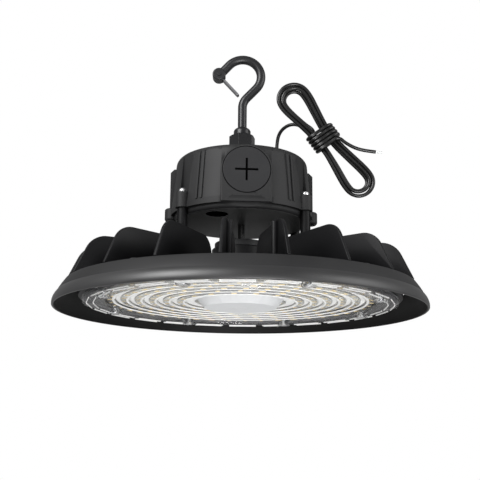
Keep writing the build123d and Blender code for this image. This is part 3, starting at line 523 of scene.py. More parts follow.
lens_clear = clear_plastic("lens_clear", (0.97, 0.98, 0.99), 0.03, 1.0, 0.28, 60.0, 0.01)
lens_thick = clear_plastic("lens_thick", (0.97, 0.98, 0.99), 0.04, 1.0, 0.75, 90.0, 0.03)
# Painted highlight: a nearly opaque white for the bright light that the ridges refract.
lens_painted_highlight = clear_plastic("lens_painted_highlight", (0.98, 0.98, 0.97), 0.20, 0.0, 0.85, 200.0, 0.01)
# Painted image of the chips: a warm tint on the crown over each chip, which the ridge would enlarge.
lens_painted_chip_image = clear_plastic("lens_painted_chip_image", (1.0, 0.80, 0.44), 0.15, 0.0, 0.60, 200.0, 0.01)
# Painted reflection: a dark tint for the steep ridge walls, which reflect inward and read as dark lines.
lens_painted_dark_line = clear_plastic("lens_painted_dark_line", (0.10, 0.10, 0.10), 0.10, 0.0, 0.55, 60.0, 0.01)
lens_frosted = clear_plastic("lens_frosted", (0.60, 0.61, 0.62), 0.55, 0.10, 0.97, 1200.0, 0.02)
print("lens finishes", [material.name for material in bpy.data.materials if "lens" in material.name])

# %% [markdown]
# ## The camera
# The picture was taken from just below the light, looking up by nearly 13 degrees. The camera's
# place comes from fitting the lip's ellipse and the box above it. The picture leans a little,
# so the camera is rolled by half a degree about its own line of sight.

# %% Camera
CAMERA_PLACE = Vector((0.0, -0.818, -0.3604))
CAMERA_PITCH, CAMERA_YAW, CAMERA_ROLL = radians(12.727), radians(-0.072), radians(0.588)
CAMERA_LENS = 67.54

ahead = Vector((sin(CAMERA_YAW) * cos(CAMERA_PITCH), cos(CAMERA_YAW) * cos(CAMERA_PITCH),
                sin(CAMERA_PITCH)))
level = Vector((cos(CAMERA_YAW), -sin(CAMERA_YAW), 0.0))
upright = level.cross(ahead)
camera_x = level * cos(CAMERA_ROLL) + upright * sin(CAMERA_ROLL)
camera_y = upright * cos(CAMERA_ROLL) - level * sin(CAMERA_ROLL)
camera_data = bpy.data.cameras.new("camera")
camera_data.lens = CAMERA_LENS
camera_data.sensor_width = 36.0
camera = bpy.data.objects.new("camera", camera_data)
bpy.context.scene.collection.objects.link(camera)
camera_turn = Matrix((camera_x, camera_y, -ahead)).transposed().to_4x4()
camera.matrix_world = Matrix.Translation(CAMERA_PLACE) @ camera_turn
bpy.context.scene.camera = camera
print("camera", [round(value, 3) for value in camera.location], "lens", CAMERA_LENS)

# %% [markdown]
# ## The cord
# A cord is one fixed length, so it is one curve: out of the gland, over to the hank, round its
# loops, round its waist and out as a free end. The binding turns pass five times over the front,
# and the last one ends there. The points are control points of a quadratic NURBS, which never
# kinks. The hank is drawn in its own directions: along its axis, to its side, and in depth. Two
# layers of loops lie on each other, about a cord's width apart. A loop is given by the radius of
# its upper and lower end, its half width at the waist, its depth and how far it is shifted.

# %% Points of the cord
CORD_DIAMETER = 3.4
HANK_X, HANK_HEIGHT, HANK_ANGLE = 79.5, 166.0, radians(-53.6)
UPPER_REACH, LOWER_REACH = 50.0, 51.5
LAYER = 1.8
LOOPS = (
    (15.4, 14.2, 8.4, -LAYER, 0.0),
    (11.8, 10.7, 4.9, -LAYER, -0.8),
    (13.7, 12.6, 6.7, LAYER, 0.9),
    (9.4, 8.7, 3.2, LAYER, -0.5),
)
WRAP_STRAIGHT, WRAP_RADIUS, WRAP_PITCH, WRAP_FIRST = 7.0, 6.2, 3.75, -9.2
WRAP_COUNT = 5
WRAP_ANGLES = (0, 45, 90, 135, 180)
LOOP_START, LOOP_STEP, SHOULDER = 6.0, 5.0, 24.0
LOWER_SHARE, UPPER_SHARE = 0.62, 0.58


def hank(along, side, depth):
    """A point in the hank's own directions."""
    x = HANK_X + along * cos(HANK_ANGLE) - side * sin(HANK_ANGLE)
    height = HANK_HEIGHT + along * sin(HANK_ANGLE) + side * cos(HANK_ANGLE)
    return at(x, depth, height)


def lobe(reach, radius, depth, direction):
    """Five control points round one end of a loop; direction +1 is the lower end."""
    outer = radius / cos(radians(22.5))
    turns = [radians(angle) * direction for angle in (-90, -45, 0, 45, 90)]
    return [hank(direction * (reach + outer * cos(turn)), outer * sin(turn), depth) for turn in turns]


lead = [at(34.0, 25.0, 157.0), at(34.0, 25.0, 171.0), at(36.8, 20.5, 181.0), at(44.5, 14.5, 186.0),
        at(53.2, 9.5, 185.2), hank(-22.0, -8.0, 6.0), hank(-14.0, -8.8, 3.2), hank(-8.0, -9.3, 1.6),
        hank(0.0, -9.3, 1.2)]
route = list(lead)
for index, (upper, lower, waist, depth, shift) in enumerate(LOOPS):
    start = LOOP_START - LOOP_STEP * index
    lower_side = waist * LOWER_SHARE + lower * (1.0 - LOWER_SHARE)
    upper_side = waist * UPPER_SHARE + upper * (1.0 - UPPER_SHARE)
    route.append(hank(start + 3.0, -waist, depth))
    route.append(hank(SHOULDER, -lower_side, depth))
    route += lobe(LOWER_REACH + shift, lower, depth, 1)
    route.append(hank(SHOULDER, lower_side, depth))
    route += [hank(8.0, waist, depth), hank(-9.0, waist, depth)]
    route.append(hank(-SHOULDER, upper_side, depth))
    route += lobe(UPPER_REACH + shift, upper, depth, -1)
    route.append(hank(-SHOULDER, -upper_side, depth))
    if index < len(LOOPS) - 1:
        route.append(hank(start - 6.0, -waist, depth))
route += [hank(-17.0, -2.6, 3.0), hank(-12.5, -3.2, 5.9)]
wrap_corner = WRAP_RADIUS / cos(radians(22.5))
left_bend = arc(-WRAP_STRAIGHT, 0.0, wrap_corner, [90 + angle for angle in WRAP_ANGLES])
right_bend = arc(WRAP_STRAIGHT, 0.0, wrap_corner, [angle - 90 for angle in WRAP_ANGLES])
wrap_loop = [(*point, angle / 360.0) for point, angle in zip(left_bend, WRAP_ANGLES)]
wrap_loop.append((0.0, -WRAP_RADIUS, 0.5))
wrap_loop += [(*point, 0.5 + angle / 360.0) for point, angle in zip(right_bend, WRAP_ANGLES)]
wrap_loop.append((0.0, WRAP_RADIUS, 1.0))
for turn in range(WRAP_COUNT):
    for side, depth, share in wrap_loop:
        if turn == WRAP_COUNT - 1 and share > 0.5:
            break
        route.append(hank(WRAP_FIRST + WRAP_PITCH * (turn + share - 0.5), side, depth))
route += [hank(6.2, 7.5, -6.3), hank(8.6, 10.8, -6.3), hank(14.0, 11.6, -6.3),
          at(106.5, -6.0, 156.2), at(116.5, -5.5, 153.7), at(126.5, -5.0, 152.8)]
print("cord points", len(route))


# %% The cord as one curve
def cord_curve(name, points, diameter, material):
    """One open NURBS with a round section."""
    data = bpy.data.curves.new(name, "CURVE")
    data.dimensions = "3D"
    data.bevel_depth = diameter * MM / 2
    data.bevel_resolution = 5
    data.resolution_u = 6
    data.use_fill_caps = True
    spline = data.splines.new("NURBS")
    spline.points.add(len(points) - 1)
    for control, point in zip(spline.points, points):
        control.co = (*point, 1.0)
    spline.order_u = 3
    spline.use_endpoint_u = True
    spline.use_smooth = True
    data.materials.append(material)
    obj = bpy.data.objects.new(name, data)
    bpy.context.scene.collection.objects.link(obj)
    return obj


def length_of(curve):
    """Length of a curve's own line, read from a copy with no section."""
    plain = curve.copy()
    plain.data = curve.data.copy()
    plain.data.bevel_depth = 0.0
    bpy.context.scene.collection.objects.link(plain)
    line = bpy.data.meshes.new_from_object(plain.evaluated_get(bpy.context.evaluated_depsgraph_get()))
    spots = [vertex.co for vertex in line.vertices]
    total = sum((spots[edge.vertices[0]] - spots[edge.vertices[1]]).length for edge in line.edges)
    bpy.data.objects.remove(plain)
    return total


supply_cord = cord_curve("supply_cord", route, CORD_DIAMETER, jacket)
cord_length = length_of(supply_cord)
print("cord length", round(cord_length, 3), "m")

# %% [markdown]
# The free end is cut and stripped. Each of the three conductors is a bundle of fine strands
# with a slight twist, so each is seven thin tubes that follow a helix along the cord's line.

# %% Stripped conductors
tail_end, tail_before = route[-1], route[-2]
tail_heading = (tail_end - tail_before).normalized()
tail_side = Vector((0, 1, 0))
tail_up = tail_side.cross(tail_heading)


def tube_mesh(mesh, points, radius, sides):
    """Add a closed round tube along points to a mesh."""
    turns = [2 * pi * side / sides for side in range(sides)]
    rings = []
    for index, point in enumerate(points):
        before, after = points[max(index - 1, 0)], points[min(index + 1, len(points) - 1)]
        heading = (after - before).normalized()
        helper = Vector((0, 0, 1)) if abs(heading.z) < 0.9 else Vector((1, 0, 0))
        across = heading.cross(helper).normalized()
        third = heading.cross(across)
        rings.append([mesh.verts.new(point + radius * (across * cos(turn) + third * sin(turn)))
                      for turn in turns])
    for ring, following in zip(rings, rings[1:]):
        for k in range(sides):
            mesh.faces.new((ring[k], ring[(k + 1) % sides], following[(k + 1) % sides], following[k]))
    mesh.faces.new(list(reversed(rings[0])))
    mesh.faces.new(rings[-1])


STRAND_RADIUS, STRAND_LENGTH, STRAND_STEPS, STRAND_SIDES = 0.22, 5.9, 12, 8
STRAND_COUNT, STRAND_RING, STRAND_TWIST = 7, 0.33, 150.0
STRIP_GAP, CONDUCTOR_SPACING = 0.1, 1.05
strands = bmesh.new()
for conductor in (-1, 0, 1):
    core = tail_end + tail_heading * STRIP_GAP * MM + tail_side * conductor * CONDUCTOR_SPACING * MM
    for strand in range(STRAND_COUNT):
        points = []
        for step in range(STRAND_STEPS + 1):
            share = step / STRAND_STEPS
            turn = radians(360.0 / (STRAND_COUNT - 1) * strand + STRAND_TWIST * share)
            ring = 0.0 if strand == STRAND_COUNT - 1 else STRAND_RING * MM
            points.append(core + tail_heading * share * STRAND_LENGTH * MM
                          + tail_side * ring * cos(turn) + tail_up * ring * sin(turn))
        tube_mesh(strands, points, STRAND_RADIUS * MM, STRAND_SIDES)
bmesh.ops.recalc_face_normals(strands, faces=strands.faces)
wire_strands = piece("wire_strands", strands, tinned)

mounted(wire_strands, "tinned_copper", "wire_ends")
mounted(supply_cord, "cord_jacket", "cord_lead", "cord_hank", "cord_tail")

# %% [markdown]
# ## The shade
# The flared skirt is a spun or cast ring with a soft crease half way up. It is turned from one
# outline. The lip and the top edge get a real rounding, because that thin light line is what
# the eye reads as metal of some thickness.

# %% Shade ring
def arc_through(start, middle, end, steps):
    """Points of the quadratic that passes through a middle point, without its end."""
    control = [2 * m - (s + e) / 2 for s, m, e in zip(start, middle, end)]
    points = []
    for share in (step / steps for step in range(steps)):
        near, bend, far = (1 - share) ** 2, 2 * share * (1 - share), share * share
        points.append(tuple(near * s + bend * c + far * e for s, c, e in zip(start, control, end)))
    return points


CREASE_HEIGHT, LIP_ROUND = 11.2, 0.8
skirt = [(167.4, 2.6)] + arc(168.2, LIP_ROUND, LIP_ROUND, (180, 210, 240, 270))
skirt += arc(169.2, LIP_ROUND, LIP_ROUND, (270, 300, 330, 360))
skirt += arc_through((170.0, 2.5), (168.8, 6.85), (166.0, 10.8), 7)
skirt += arc_through((166.0, 10.8), (165.72, 11.25), (165.45, 11.8), 3)
skirt += arc_through((165.45, 11.8), (162.7, 16.35), (159.5, 20.6), 5)
skirt += [(159.3, 21.1), (158.9, 21.45), (158.4, 21.5), (157.2, 21.5), (156.85, 21.3), (156.8, 20.9),
          (163.2, 10.2)]
shade = piece("shade_skirt", lathe(skirt, 256), skirt_painted_light_coat, skirt_inside_painted_shade, powder_coat)
# Painted light and shade on the skirt: its inner faces take near black, the band above the crease the
# darker, duller powder coat, and the band below it the lighter, glossier copy.
for face in shade.data.polygons:
    if face.center.x * face.normal.x + face.center.y * face.normal.y < 0:
        face.material_index = 1
    elif face.center.z > at(0, 0, CREASE_HEIGHT).z:
        face.material_index = 2
mounted(shade, "black_casting", "shade_ring")

# %% [markdown]
# Four lugs reach in from the skirt's top edge to the casting and are screwed down there. A lug
# is a small plate with a round end.

# %% Lugs of the shade
LUG_GAPS = (-7, -2, 2, 7)
LUG_HALF, LUG_BOTTOM = 6.5, 19.0
lug_outline = [(158.0, -LUG_HALF), (158.0, LUG_HALF)] + arc(149.5, 0.0, LUG_HALF, range(90, 271, 20))


def lug_places(rise):
    """Where the lugs are, for a plate that is raised by a height in millimetres."""
    return [(Vector((0, 0, rise * MM)), FRONT + gap * GAP_ANGLE) for gap in LUG_GAPS]


lugs = copies_on("shade_lugs", flat_plate(lug_outline, 0.0, 2.5, 0.5), powder_coat, lug_places(LUG_BOTTOM))
mounted(lugs, "black_casting")

# %% [markdown]
# ## The finned casting
# A die casting: a disc that carries the lamp board, a hub, 19 upright fins, four posts and the
# ears for the shade. The disc and hub are turned. A fin is one plate with a big round at each
# top corner, and all its edges are eased, as a casting's always are.

# %% Disc and hub
disc_outline = [(5.0, 15.6)] + [(124.4, 15.6), (124.4, 9.3)] + eased(
    [(147.0, 9.3, 0.8), (147.0, 19.0, 2.0), (34.0, 19.0, 6.0), (27.0, 26.0, 4.0), (27.0, 57.5, 1.2),
     (5.0, 57.5, 0.8)], 4)
# The casting's parts take the darker copy of the coat, which is painted shade.
disc = piece("casting_disc", lathe(disc_outline, 224), casting_painted_shade_coat)
mounted(disc, "black_casting", "heat_sink")

# %% Fins
FIN_THICKNESS = 2.8
fin_outline = eased([(63.0, 18.2), (63.0, 55.8, 16.0), (143.0, 55.8, 20.0), (159.3, 21.6, 0.8),
                     (144.0, 21.6), (144.0, 18.2)], 9)
fins = turned_copies("casting_fins", plate(fin_outline, FIN_THICKNESS, 0.95, 3), casting_painted_shade_coat,
                     FIN_COUNT, FRONT + GAP_ANGLE / 2)
mounted(fins, "black_casting")

# %% [markdown]
# Round cores stand against the two front fins, where the mould's ejector pins pushed. The posts
# carry the driver box. Each is a round bar with a slot cut down its outer side.

# %% Pillars, posts and ears
PILLAR_RADIUS, PILLAR_CIRCLE = 2.7, 128.0
pillar = lathe(eased([(0.0, 18.6), (PILLAR_RADIUS, 18.6), (PILLAR_RADIUS, 54.8, 1.0), (0.0, 54.8)], 3), 28)
pillar_turn = degrees((FIN_THICKNESS / 2 + PILLAR_RADIUS * 0.6) / PILLAR_CIRCLE)
pillars = copies_on("casting_pillars", pillar, casting_painted_shade_coat,
                    [(around(PILLAR_CIRCLE, FRONT + side * (GAP_ANGLE / 2 - pillar_turn), SEAT_HEIGHT), 0.0)
                     for side in (-1, 1)])
mounted(pillars, "black_casting")

POST_CIRCLE = 66.0
POST_TURNS = (3 * GAP_ANGLE, -3 * GAP_ANGLE, 180 - 3 * GAP_ANGLE, 180 + 3 * GAP_ANGLE)
post_outline = arc(0.0, 0.0, 4.6, range(12, 349, 8)) + [(3.7, -0.85), (3.7, 0.85)]
posts = copies_on("casting_posts", flat_plate(post_outline, 18.6, 87.0, 0.0), casting_painted_shade_coat,
                  [(around(POST_CIRCLE, FRONT + turn, SEAT_HEIGHT), FRONT + turn) for turn in POST_TURNS])
mounted(posts, "black_casting")

EAR_CIRCLE, EAR_BOTTOM = 150.0, 9.3
ear_outline = [(138.0, -LUG_HALF)] + arc(EAR_CIRCLE, 0.0, LUG_HALF, range(-90, 91, 15))
ear_outline.append((138.0, LUG_HALF))
ears = copies_on("casting_ears", flat_plate(ear_outline, 0.0, 9.7, 0.6), powder_coat,
                 lug_places(EAR_BOTTOM))
mounted(ears, "black_casting")

# %% [markdown]
# The board's lead comes up through a round seal that is pressed on the hub.

# %% Seal on the hub
seal_outline = eased([(8.0, 57.4), (24.5, 57.4), (24.5, 63.2, 0.8), (8.0, 63.2, 0.5)], 3)
hub_seal = piece("hub_seal", lathe(seal_outline, 96), moulded_black)
mounted(hub_seal, "black_plastic")

# %% [markdown]
# ## Screws
# One pan-head screw with a crossed recess serves everywhere, in three sizes. The recess is cut
# by a Boolean from a turned head. The copies are set on their seats by the node tree, each at
# its own angle, because driven screws don't all stop with the cross the same way.

# %% A screw and where it goes
def screw_unit(head_radius, head_height, shank_radius, shank_length, up=True):
    """A pan-head screw drawn with its seat at height 0, head above it or below it."""
    head = piece("screw_head", lathe(eased(
        [(0.0, 0.0), (head_radius, 0.0, 0.15), (head_radius, head_height * 0.62, 0.3),
         (head_radius * 0.72, head_height, head_height * 0.3), (0.0, head_height)], 3), 28))
    reach, half = head_radius * 0.55, head_radius * 0.13
    cross = piece("screw_cross", flat_plate(
        [(reach, -half), (reach, half), (half, half), (half, reach), (-half, reach), (-half, half),
         (-reach, half), (-reach, -half), (-half, -half), (-half, -reach), (half, -reach), (half, -half)],
        head_height * 0.45, head_height + 1.0, 0.0))
    cut_by(head, cross)
    mesh = bmesh.new()
    mesh.from_mesh(head.data)
    shank = lathe([(0.0, 0.0), (shank_radius, 0.0), (shank_radius, -shank_length),
                   (0.0, -shank_length)], 16)
    shank_data = bpy.data.meshes.new("shank")
    shank.to_mesh(shank_data)
    mesh.from_mesh(shank_data)
    for part in (head, cross):
        bpy.data.objects.remove(part)
    bmesh.ops.translate(mesh, verts=mesh.verts, vec=(0, 0, SEAT_HEIGHT * MM))
    if not up:
        bmesh.ops.rotate(mesh, verts=mesh.verts, cent=(0, 0, 0), matrix=Matrix.Rotation(pi, 3, "X"))
    return mesh


COVER_CROSS, SHADE_CROSS, LENS_CROSS = 31.0, 17.0, 23.0
cover_bolts = copies_on("cover_bolts", screw_unit(3.4, 4.2, 2.0, 20.0), bright_plate,
                        [(around(POST_CIRCLE, FRONT + turn, 101.0), 20.0 + COVER_CROSS * index)
                         for index, turn in enumerate(POST_TURNS)])
mounted(cover_bolts, "bright_steel", "cover_screws")

shade_bolts = copies_on("shade_bolts", screw_unit(3.8, 2.2, 2.0, 6.0), hook_coat,
                        [(around(EAR_CIRCLE, FRONT + gap * GAP_ANGLE, 21.5), SHADE_CROSS * gap)
                         for gap in LUG_GAPS])
mounted(shade_bolts, "black_steel", "ring_screws")

BOSS_CIRCLE, BOSS_COUNT, BOSS_SHIFT = 129.5, 8, 2.0
BOSS_TURNS = [270.0 + BOSS_SHIFT + (index + 0.5) * 360.0 / BOSS_COUNT for index in range(BOSS_COUNT)]
lens_bolts = copies_on("lens_bolts", screw_unit(3.8, 2.2, 2.0, 8.0, up=False), bright_plate,
                       [(around(BOSS_CIRCLE, azimuth, 5.2), LENS_CROSS * index)
                        for index, azimuth in enumerate(BOSS_TURNS)])
mounted(lens_bolts, "bright_steel", "lens_screws")

# %% [markdown]
# ## The lamp board and its chips
# The board is a white disc screwed against the casting. Six rings of chips face down. A chip is
# a white package with a raised square of warm phosphor. The phosphor is a second set of copies,
# because the tree gives each set one material.

# %% Board and chips
board_outline = eased([(2.5, 14.0), (120.0, 14.0, 0.3), (120.0, 15.6), (2.5, 15.6)], 2)
board = piece("lamp_board", lathe(board_outline, 128), white_mask)
mounted(board, "board_white", "led_board")

RING_FIRST, RING_PITCH, RING_COUNT = 54.0, 12.75, 6
CHIPS_INSIDE, CHIPS_MORE = 18, 5


def chips_in(ring):
    """How many chips a ring has."""
    return CHIPS_INSIDE + CHIPS_MORE * ring


chip_places = []
for ring in range(RING_COUNT):
    count = chips_in(ring)
    for index in range(count):
        turn = FRONT_TURN + index * 360.0 / count
        chip_places.append((around(RING_FIRST + ring * RING_PITCH, turn, 14.0), turn))


def chip_plate(side, rounding, top, bottom):
    """A square plate with round corners that hangs below the board."""
    half = side / 2
    corners = eased([(-half, -half, rounding), (half, -half, rounding), (half, half, rounding),
                     (-half, half, rounding)], 2)
    mesh = flat_plate(corners, bottom, top, 0.0)
    bmesh.ops.translate(mesh, verts=mesh.verts, vec=(0, 0, SEAT_HEIGHT * MM))
    return mesh


packages = copies_on("chip_packages", chip_plate(2.8, 0.25, 0.0, -0.7), package_white, chip_places)
mounted(packages, "board_white", "led_chips")
dots = copies_on("chip_dots", chip_plate(2.2, 0.7, -0.5, -0.8), phosphor, chip_places)
mounted(dots, "chip_phosphor")

# %% [markdown]
# ## The lens
# The lens is one moulding: a flange under the casting's edge, a step up to a web with one
# ridge over each ring of chips, and a closed well in the middle. It is turned from an outline
# that follows the CAD's. Each face gets its finish by its place. The well is frosted. The web
# between the ridges and the inner side of each ridge's crown get a white painted highlight
# for the light the ridges refract. A ridge's steep walls get a dark painted reflection, so
# they read as thin lines, and the crown over a chip gets a warm painted image of the chip.

# %% Lens
lens_outline = [(0.0, 1.2)] + eased([(35.0, 1.2, 1.2), (42.0, 9.2, 1.0), (43.5, 9.2)], 4)[0:-1]
RIDGE = ((4.4, 9.2), (4.2, 8.1), (3.3, 7.95), (3.0, 7.35), (1.3, 7.3), (0.9, 7.6))
for ring in range(RING_COUNT):
    middle = RING_FIRST + ring * RING_PITCH
    lens_outline += [(middle - across, height) for across, height in RIDGE]
    lens_outline += [(middle + across, height) for across, height in reversed(RIDGE)]
lens_outline += eased([(122.0, 9.2, 0.5), (122.4, 4.8, 0.5), (143.4, 4.8, 0.6), (144.0, 7.8, 0.3),
                       (124.0, 7.8, 0.4), (124.0, 11.2, 0.4)], 2)
lens_outline += [(40.0, 11.2), (33.0, 3.2), (0.0, 3.2)]
lens = piece("lens_moulding", lathe(lens_outline, 224), lens_clear, lens_frosted, lens_painted_highlight, lens_painted_dark_line,
             lens_painted_chip_image)
CHIP_IMAGE = 2.4
WELL_EDGE, RIDGES_EDGE = 42.4, 121.5
WEB_TOP, WEB_BOTTOM, WALL_BOTTOM, CROWN_TOP = 9.3, 9.1, 8.2, 8.0
CROWN_HIGHLIGHT_START, CROWN_HIGHLIGHT_WIDTH = 5.0, 4.5


def over_chip(face, radius):
    """Whether a face of a ridge lies over a chip; there the crown gets a painted image of the chip,
    enlarged.
    """
    ring = round((radius - RING_FIRST) / RING_PITCH)
    step = 360.0 / chips_in(ring)
    turn = degrees(atan2(face.center.y, face.center.x)) - FRONT_TURN
    return abs((turn + step / 2) % step - step / 2) * pi / 180 * radius < CHIP_IMAGE


# Painted light on the lens: the web and the inner side of each crown get the white painted highlight, the
# steep walls the dark painted reflection, and a crown over a chip the warm painted image of the chip.
def lens_finish(face):
    """Which of the lens's materials a face gets, counted from 0."""
    radius = sqrt(face.center.x ** 2 + face.center.y ** 2) / MM
    height = face.center.z / MM + SEAT_HEIGHT
    if radius < WELL_EDGE:
        return 1
    if radius >= RIDGES_EDGE:
        return 0
    if WEB_BOTTOM < height < WEB_TOP:
        return 2
    if WALL_BOTTOM < height < WEB_BOTTOM:
        return 3
    if height < CROWN_TOP and (radius - RING_FIRST + CROWN_HIGHLIGHT_START) % RING_PITCH < CROWN_HIGHLIGHT_WIDTH:
        return 2
    if height < CROWN_TOP and over_chip(face, radius):
        return 4
    return 0


for face in lens.data.polygons:
    face.material_index = lens_finish(face)
mounted(lens, "clear_lens", "lens")

# %% [markdown]
# Round bosses stand down from the flange and hide the screws' shanks. Two rows of short ribs
# between them stiffen the flange. They take the lens's white painted highlight, so they show
# as broken bright lines.

# %% Bosses and ribs of the lens
boss_outline = eased([(4.2, 5.2), (4.2, 3.0, 0.3), (6.2, 3.0, 0.6), (6.2, 7.7), (2.3, 7.7), (2.3, 5.2)], 3)
bosses = copies_on("lens_bosses", lathe(boss_outline, 40), lens_thick,
                   [(around(BOSS_CIRCLE, azimuth, SEAT_HEIGHT), 0.0) for azimuth in BOSS_TURNS])
mounted(bosses, "clear_lens")

RIB_COUNT, RIB_HALF, RIB_WIDTH, RIB_SHIFT = 24, 14.0, 0.7, 4.5
for name, radius in (("lens_outer_ribs", 138.5), ("lens_inner_ribs", 132.5)):
    rib_mesh = flat_plate([(radius, -RIB_HALF), (radius + RIB_WIDTH, -RIB_HALF),
                           (radius + RIB_WIDTH, RIB_HALF), (radius, RIB_HALF)], 4.0, 4.9, 0.0)
    ribs = turned_copies(name, rib_mesh, lens_painted_highlight, RIB_COUNT, BOSS_TURNS[0] + RIB_SHIFT)
    mounted(ribs, "clear_lens")

# %% [markdown]
# ## The driver box
# The pan and the cover come from CAD, and a Bevel rounds what is sharper than 30 degrees,
# because a casting has no knife edges. The pad's top is cut round about the plug, and what
# bulges ahead of the pad is cut off. A thin near-black ring on the pad is painted shade for the
# groove round the plug.

# %% Pan and cover
PORT_HEIGHT, PAD_HALF, PAD_FRONT = 116.2, 22.5, -64.5
PAD_MARGIN, CUTTER_TOP, CORNER_DEPTH, SKIN_DEPTH = 1.0, 142.0, 16.0, 6.0
GROOVE_INNER, GROOVE_OUTER, GROOVE_RISE, CROSS_TOP = 20.55, 21.45, 0.04, 0.35
COVER_SIDE = [(0.0, 90.0), (65.62, 92.5), (61.62, 136.0), (60.52, 139.12), (58.62, 141.02), (0.0, 141.1)]


def faced(mesh):
    """Turn a mesh that was drawn facing -Y to the light's own front."""
    bmesh.ops.rotate(mesh, verts=mesh.verts, cent=(0, 0, 0), matrix=TO_FRONT)
    return mesh


def pad_corner_cutter(side):
    """What lies beside the pad's round top on one side, outside the cover's own side."""
    arch = [(side * x, height) for x, height in arc(0.0, PORT_HEIGHT, PAD_HALF, range(0, 91, 10))]
    outside = side * (PAD_HALF + PAD_MARGIN)
    wedge = plate([(outside, PORT_HEIGHT - 0.01)] + arch + [(0.0, CUTTER_TOP), (outside, CUTTER_TOP)],
                  CORNER_DEPTH)
    bmesh.ops.translate(wedge, verts=wedge.verts, vec=(0, (PAD_FRONT + 6.0) * MM, 0))
    cutter = piece("pad_corner_cutter", faced(wedge))
    core = piece("cover_core", lathe(COVER_SIDE, 128))
    cut_by(cutter, core)
    bpy.data.objects.remove(core)
    return cutter


def pad_front_cutter():
    """What bulges ahead of the pad's flat face, below the plug."""
    block = plate([(-PAD_HALF, 86.0), (PAD_HALF, 86.0), (PAD_HALF, 139.0), (-PAD_HALF, 139.0)], SKIN_DEPTH)
    skin = PAD_FRONT - SKIN_DEPTH / 2 - 0.03
    bmesh.ops.translate(block, verts=block.verts, vec=(0, skin * MM, 0))
    return piece("pad_front_cutter", faced(block))


PAN_FLOOR_TOP, PAN_TOP = 82.0, 90.0
BREATHER_X, BREATHER_Y, BREATHER_REACH = -24.5, -39.5, 10.2
breather = TO_FRONT @ Vector((BREATHER_X * MM, BREATHER_Y * MM, 0.0))
pan = softened("driver_base", "driver_pan", 0.4, powder_coat, pan_painted_light_coat, painted_recess_shade)
# Painted light and shade on the pan: its downward faces take the lighter coat, and the faces round the
# breather take near black.
for face in pan.data.polygons:
    height = face.center.z / MM + SEAT_HEIGHT
    if height < PAN_FLOOR_TOP and face.normal.z < -0.5:
        face.material_index = 1
    elif height < PAN_TOP and (face.center.xy - breather.xy).length < BREATHER_REACH * MM:
        face.material_index = 2
mounted(pan, "black_casting", "driver_base")
pad_cutters = [pad_corner_cutter(-1), pad_corner_cutter(1), pad_front_cutter()]
cover = softened("driver_cover", "driver_housing", 0.5, powder_coat, cutters=pad_cutters)
for cutter in pad_cutters:
    bpy.data.objects.remove(cutter)
mounted(cover, "black_casting", "driver_cover")
plug = softened("port_plug", "port_cap", 0.25, moulded_black, painted_recess_shade)
front_way = Vector((cos(radians(FRONT)), sin(radians(FRONT)), 0.0))
# Painted shade: the faces deep in the plug's cross take near black.
for face in plug.data.polygons:
    if face.center.dot(front_way) < (-PAD_FRONT - CROSS_TOP) * MM:
        face.material_index = 1
mounted(plug, "black_plastic", "port_plug")
# A near-black ring just proud of the pad: painted shade for the groove round the plug.
groove_top = SEAT_HEIGHT + GROOVE_RISE
groove_shade_ring = lathe([(GROOVE_INNER, SEAT_HEIGHT), (GROOVE_OUTER, SEAT_HEIGHT), (GROOVE_OUTER, groove_top),
                (GROOVE_INNER, groove_top)], 96)
bmesh.ops.rotate(groove_shade_ring, verts=groove_shade_ring.verts, cent=(0, 0, 0), matrix=Matrix.Rotation(pi / 2, 3, "X"))
bmesh.ops.translate(groove_shade_ring, verts=groove_shade_ring.verts, vec=at(0, PAD_FRONT, PORT_HEIGHT))
groove_shade_ring = piece("plug_groove", faced(groove_shade_ring), painted_recess_shade)
mounted(groove_shade_ring, "black_plastic")

# %% [markdown]
# ## Hook, latch and glands
# The hook is a bent rod with a smooth coat. Its mesh comes from the CAD's sweep, which already
# has the true bends. The hook, its fittings, the latch and the gland all get small bevels.

# %% Hook and fittings
hook = softened("hook", "hanging_hook", 0.2, hook_coat, angle=40.0)
mounted(hook, "black_steel", "hook")
collar = softened("hook_collar", "collar_nut", 0.3, hook_coat)
mounted(collar, "black_steel", "hook_collar")
leaf = softened("latch", "latch_blade", 0.15, leaf_steel)
mounted(leaf, "spring_steel", "latch", body="latch_leaf")
pin = softened("latch_pin", "latch_rivet", 0.15, hook_coat)
mounted(pin, "black_steel", "latch_pin")
gland = softened("cable_gland", "gland_body", 0.2, moulded_black)
mounted(gland, "black_plastic", "cable_gland")
dome = softened("gland_nut", "gland_dome", 0.2, moulded_black)
mounted(dome, "black_plastic", "gland_nut")

# %% [markdown]
# ## Pieces inside
# The seals, the driver's board and what stands on it are hidden, and the board's lead shows only
# below the pan. They stay as CAD solids and take their finishes, so a cut-away reads right too.

# %% Finishes of the nodes that stay as they are
# The breather plug sits deep in its recess and takes the near-black painted shade.
for node, material in {
    "lens_gasket": silicone, "cover_gasket": silicone, "port_seal": silicone,
    "breather_plug": painted_recess_shade, "driver_board": green_board, "transformer": ferrite,
    "capacitors": sleeve, "light_lead": jacket, "lock_nut": bright_plate,
}.items():
    data = frame["nodes"][node].data
    data.materials.clear()
    data.materials.append(material)
print("plain CAD nodes dressed")

# %% [markdown]
# ## Light and surroundings
# A plain pale floor lies well below, because the light hangs and is seen from underneath. Two
# large soft lamps, a low one for the lens, a weak one in front and an even sky light it. What
# the camera sees of the sky, also through the lens, is plain white, which Light Path picks out.

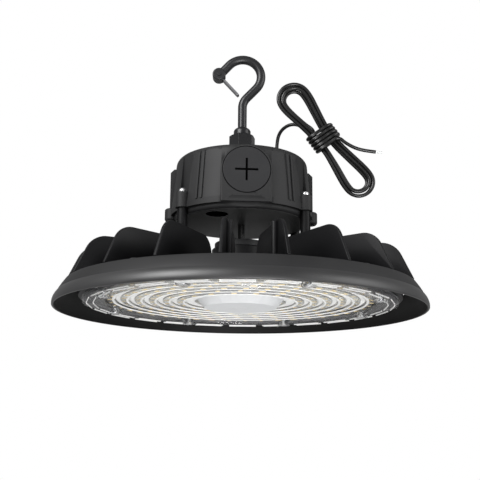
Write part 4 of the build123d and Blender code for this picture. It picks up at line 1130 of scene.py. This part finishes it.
# %% Floor, sky and lamps
FLOOR_DROP = -1.25
SKY_LIGHT = 0.38
KEY_POWER, FILL_POWER, LOW_POWER, FRONT_POWER = 32.0, 9.0, 18.0, 6.0
floor_mesh = bmesh.new()
bmesh.ops.create_grid(floor_mesh, x_segments=1, y_segments=1, size=12.0)
bmesh.ops.translate(floor_mesh, verts=floor_mesh.verts, vec=(0, 0, FLOOR_DROP))
floor_material = finish_nodes("pale_floor", (0.84, 0.84, 0.84), 0.8)[0]
floor = piece("floor", floor_mesh, floor_material)

world = bpy.data.worlds.new("studio")
bpy.context.scene.world = world
world.use_nodes = True
nodes, links = world.node_tree.nodes, world.node_tree.links
nodes.clear()
paths = nodes.new("ShaderNodeLightPath")
seen = nodes.new("ShaderNodeMath")
seen.operation = "MAXIMUM"
links.new(paths.outputs["Is Camera Ray"], seen.inputs[0])
links.new(paths.outputs["Is Transmission Ray"], seen.inputs[1])
sky_light = nodes.new("ShaderNodeBackground")
sky_light.inputs["Color"].default_value = (1.0, 1.0, 1.0, 1.0)
sky_light.inputs["Strength"].default_value = SKY_LIGHT
sky_seen = nodes.new("ShaderNodeBackground")
sky_seen.inputs["Color"].default_value = (1.0, 1.0, 1.0, 1.0)
sky_seen.inputs["Strength"].default_value = 1.0
sky_mix = nodes.new("ShaderNodeMixShader")
links.new(seen.outputs[0], sky_mix.inputs[0])
links.new(sky_light.outputs[0], sky_mix.inputs[1])
links.new(sky_seen.outputs[0], sky_mix.inputs[2])
links.new(sky_mix.outputs[0], nodes.new("ShaderNodeOutputWorld").inputs["Surface"])


def soft_lamp(name, place, aim, size, power):
    """A square area lamp that faces a point."""
    data = bpy.data.lights.new(name, "AREA")
    data.energy = power
    data.size = size
    lamp = bpy.data.objects.new(name, data)
    bpy.context.scene.collection.objects.link(lamp)
    lamp.location = place
    lamp.rotation_euler = (Vector(aim) - Vector(place)).to_track_quat("-Z", "Y").to_euler()
    return lamp


soft_lamp("key", (-0.9, -1.0, 0.7), (0, 0, -0.15), 0.9, KEY_POWER)
soft_lamp("fill", (1.2, -0.5, 0.2), (0, 0, -0.15), 0.9, FILL_POWER)
soft_lamp("low", (0.25, -1.25, -1.05), (0, 0, -0.23), 0.6, LOW_POWER)
soft_lamp("front", (0.30, -1.70, -0.35), (0, 0, -0.15), 0.8, FRONT_POWER)
bpy.context.scene.view_settings.view_transform = "Standard"
print("lamps", [light.name for light in bpy.data.lights])
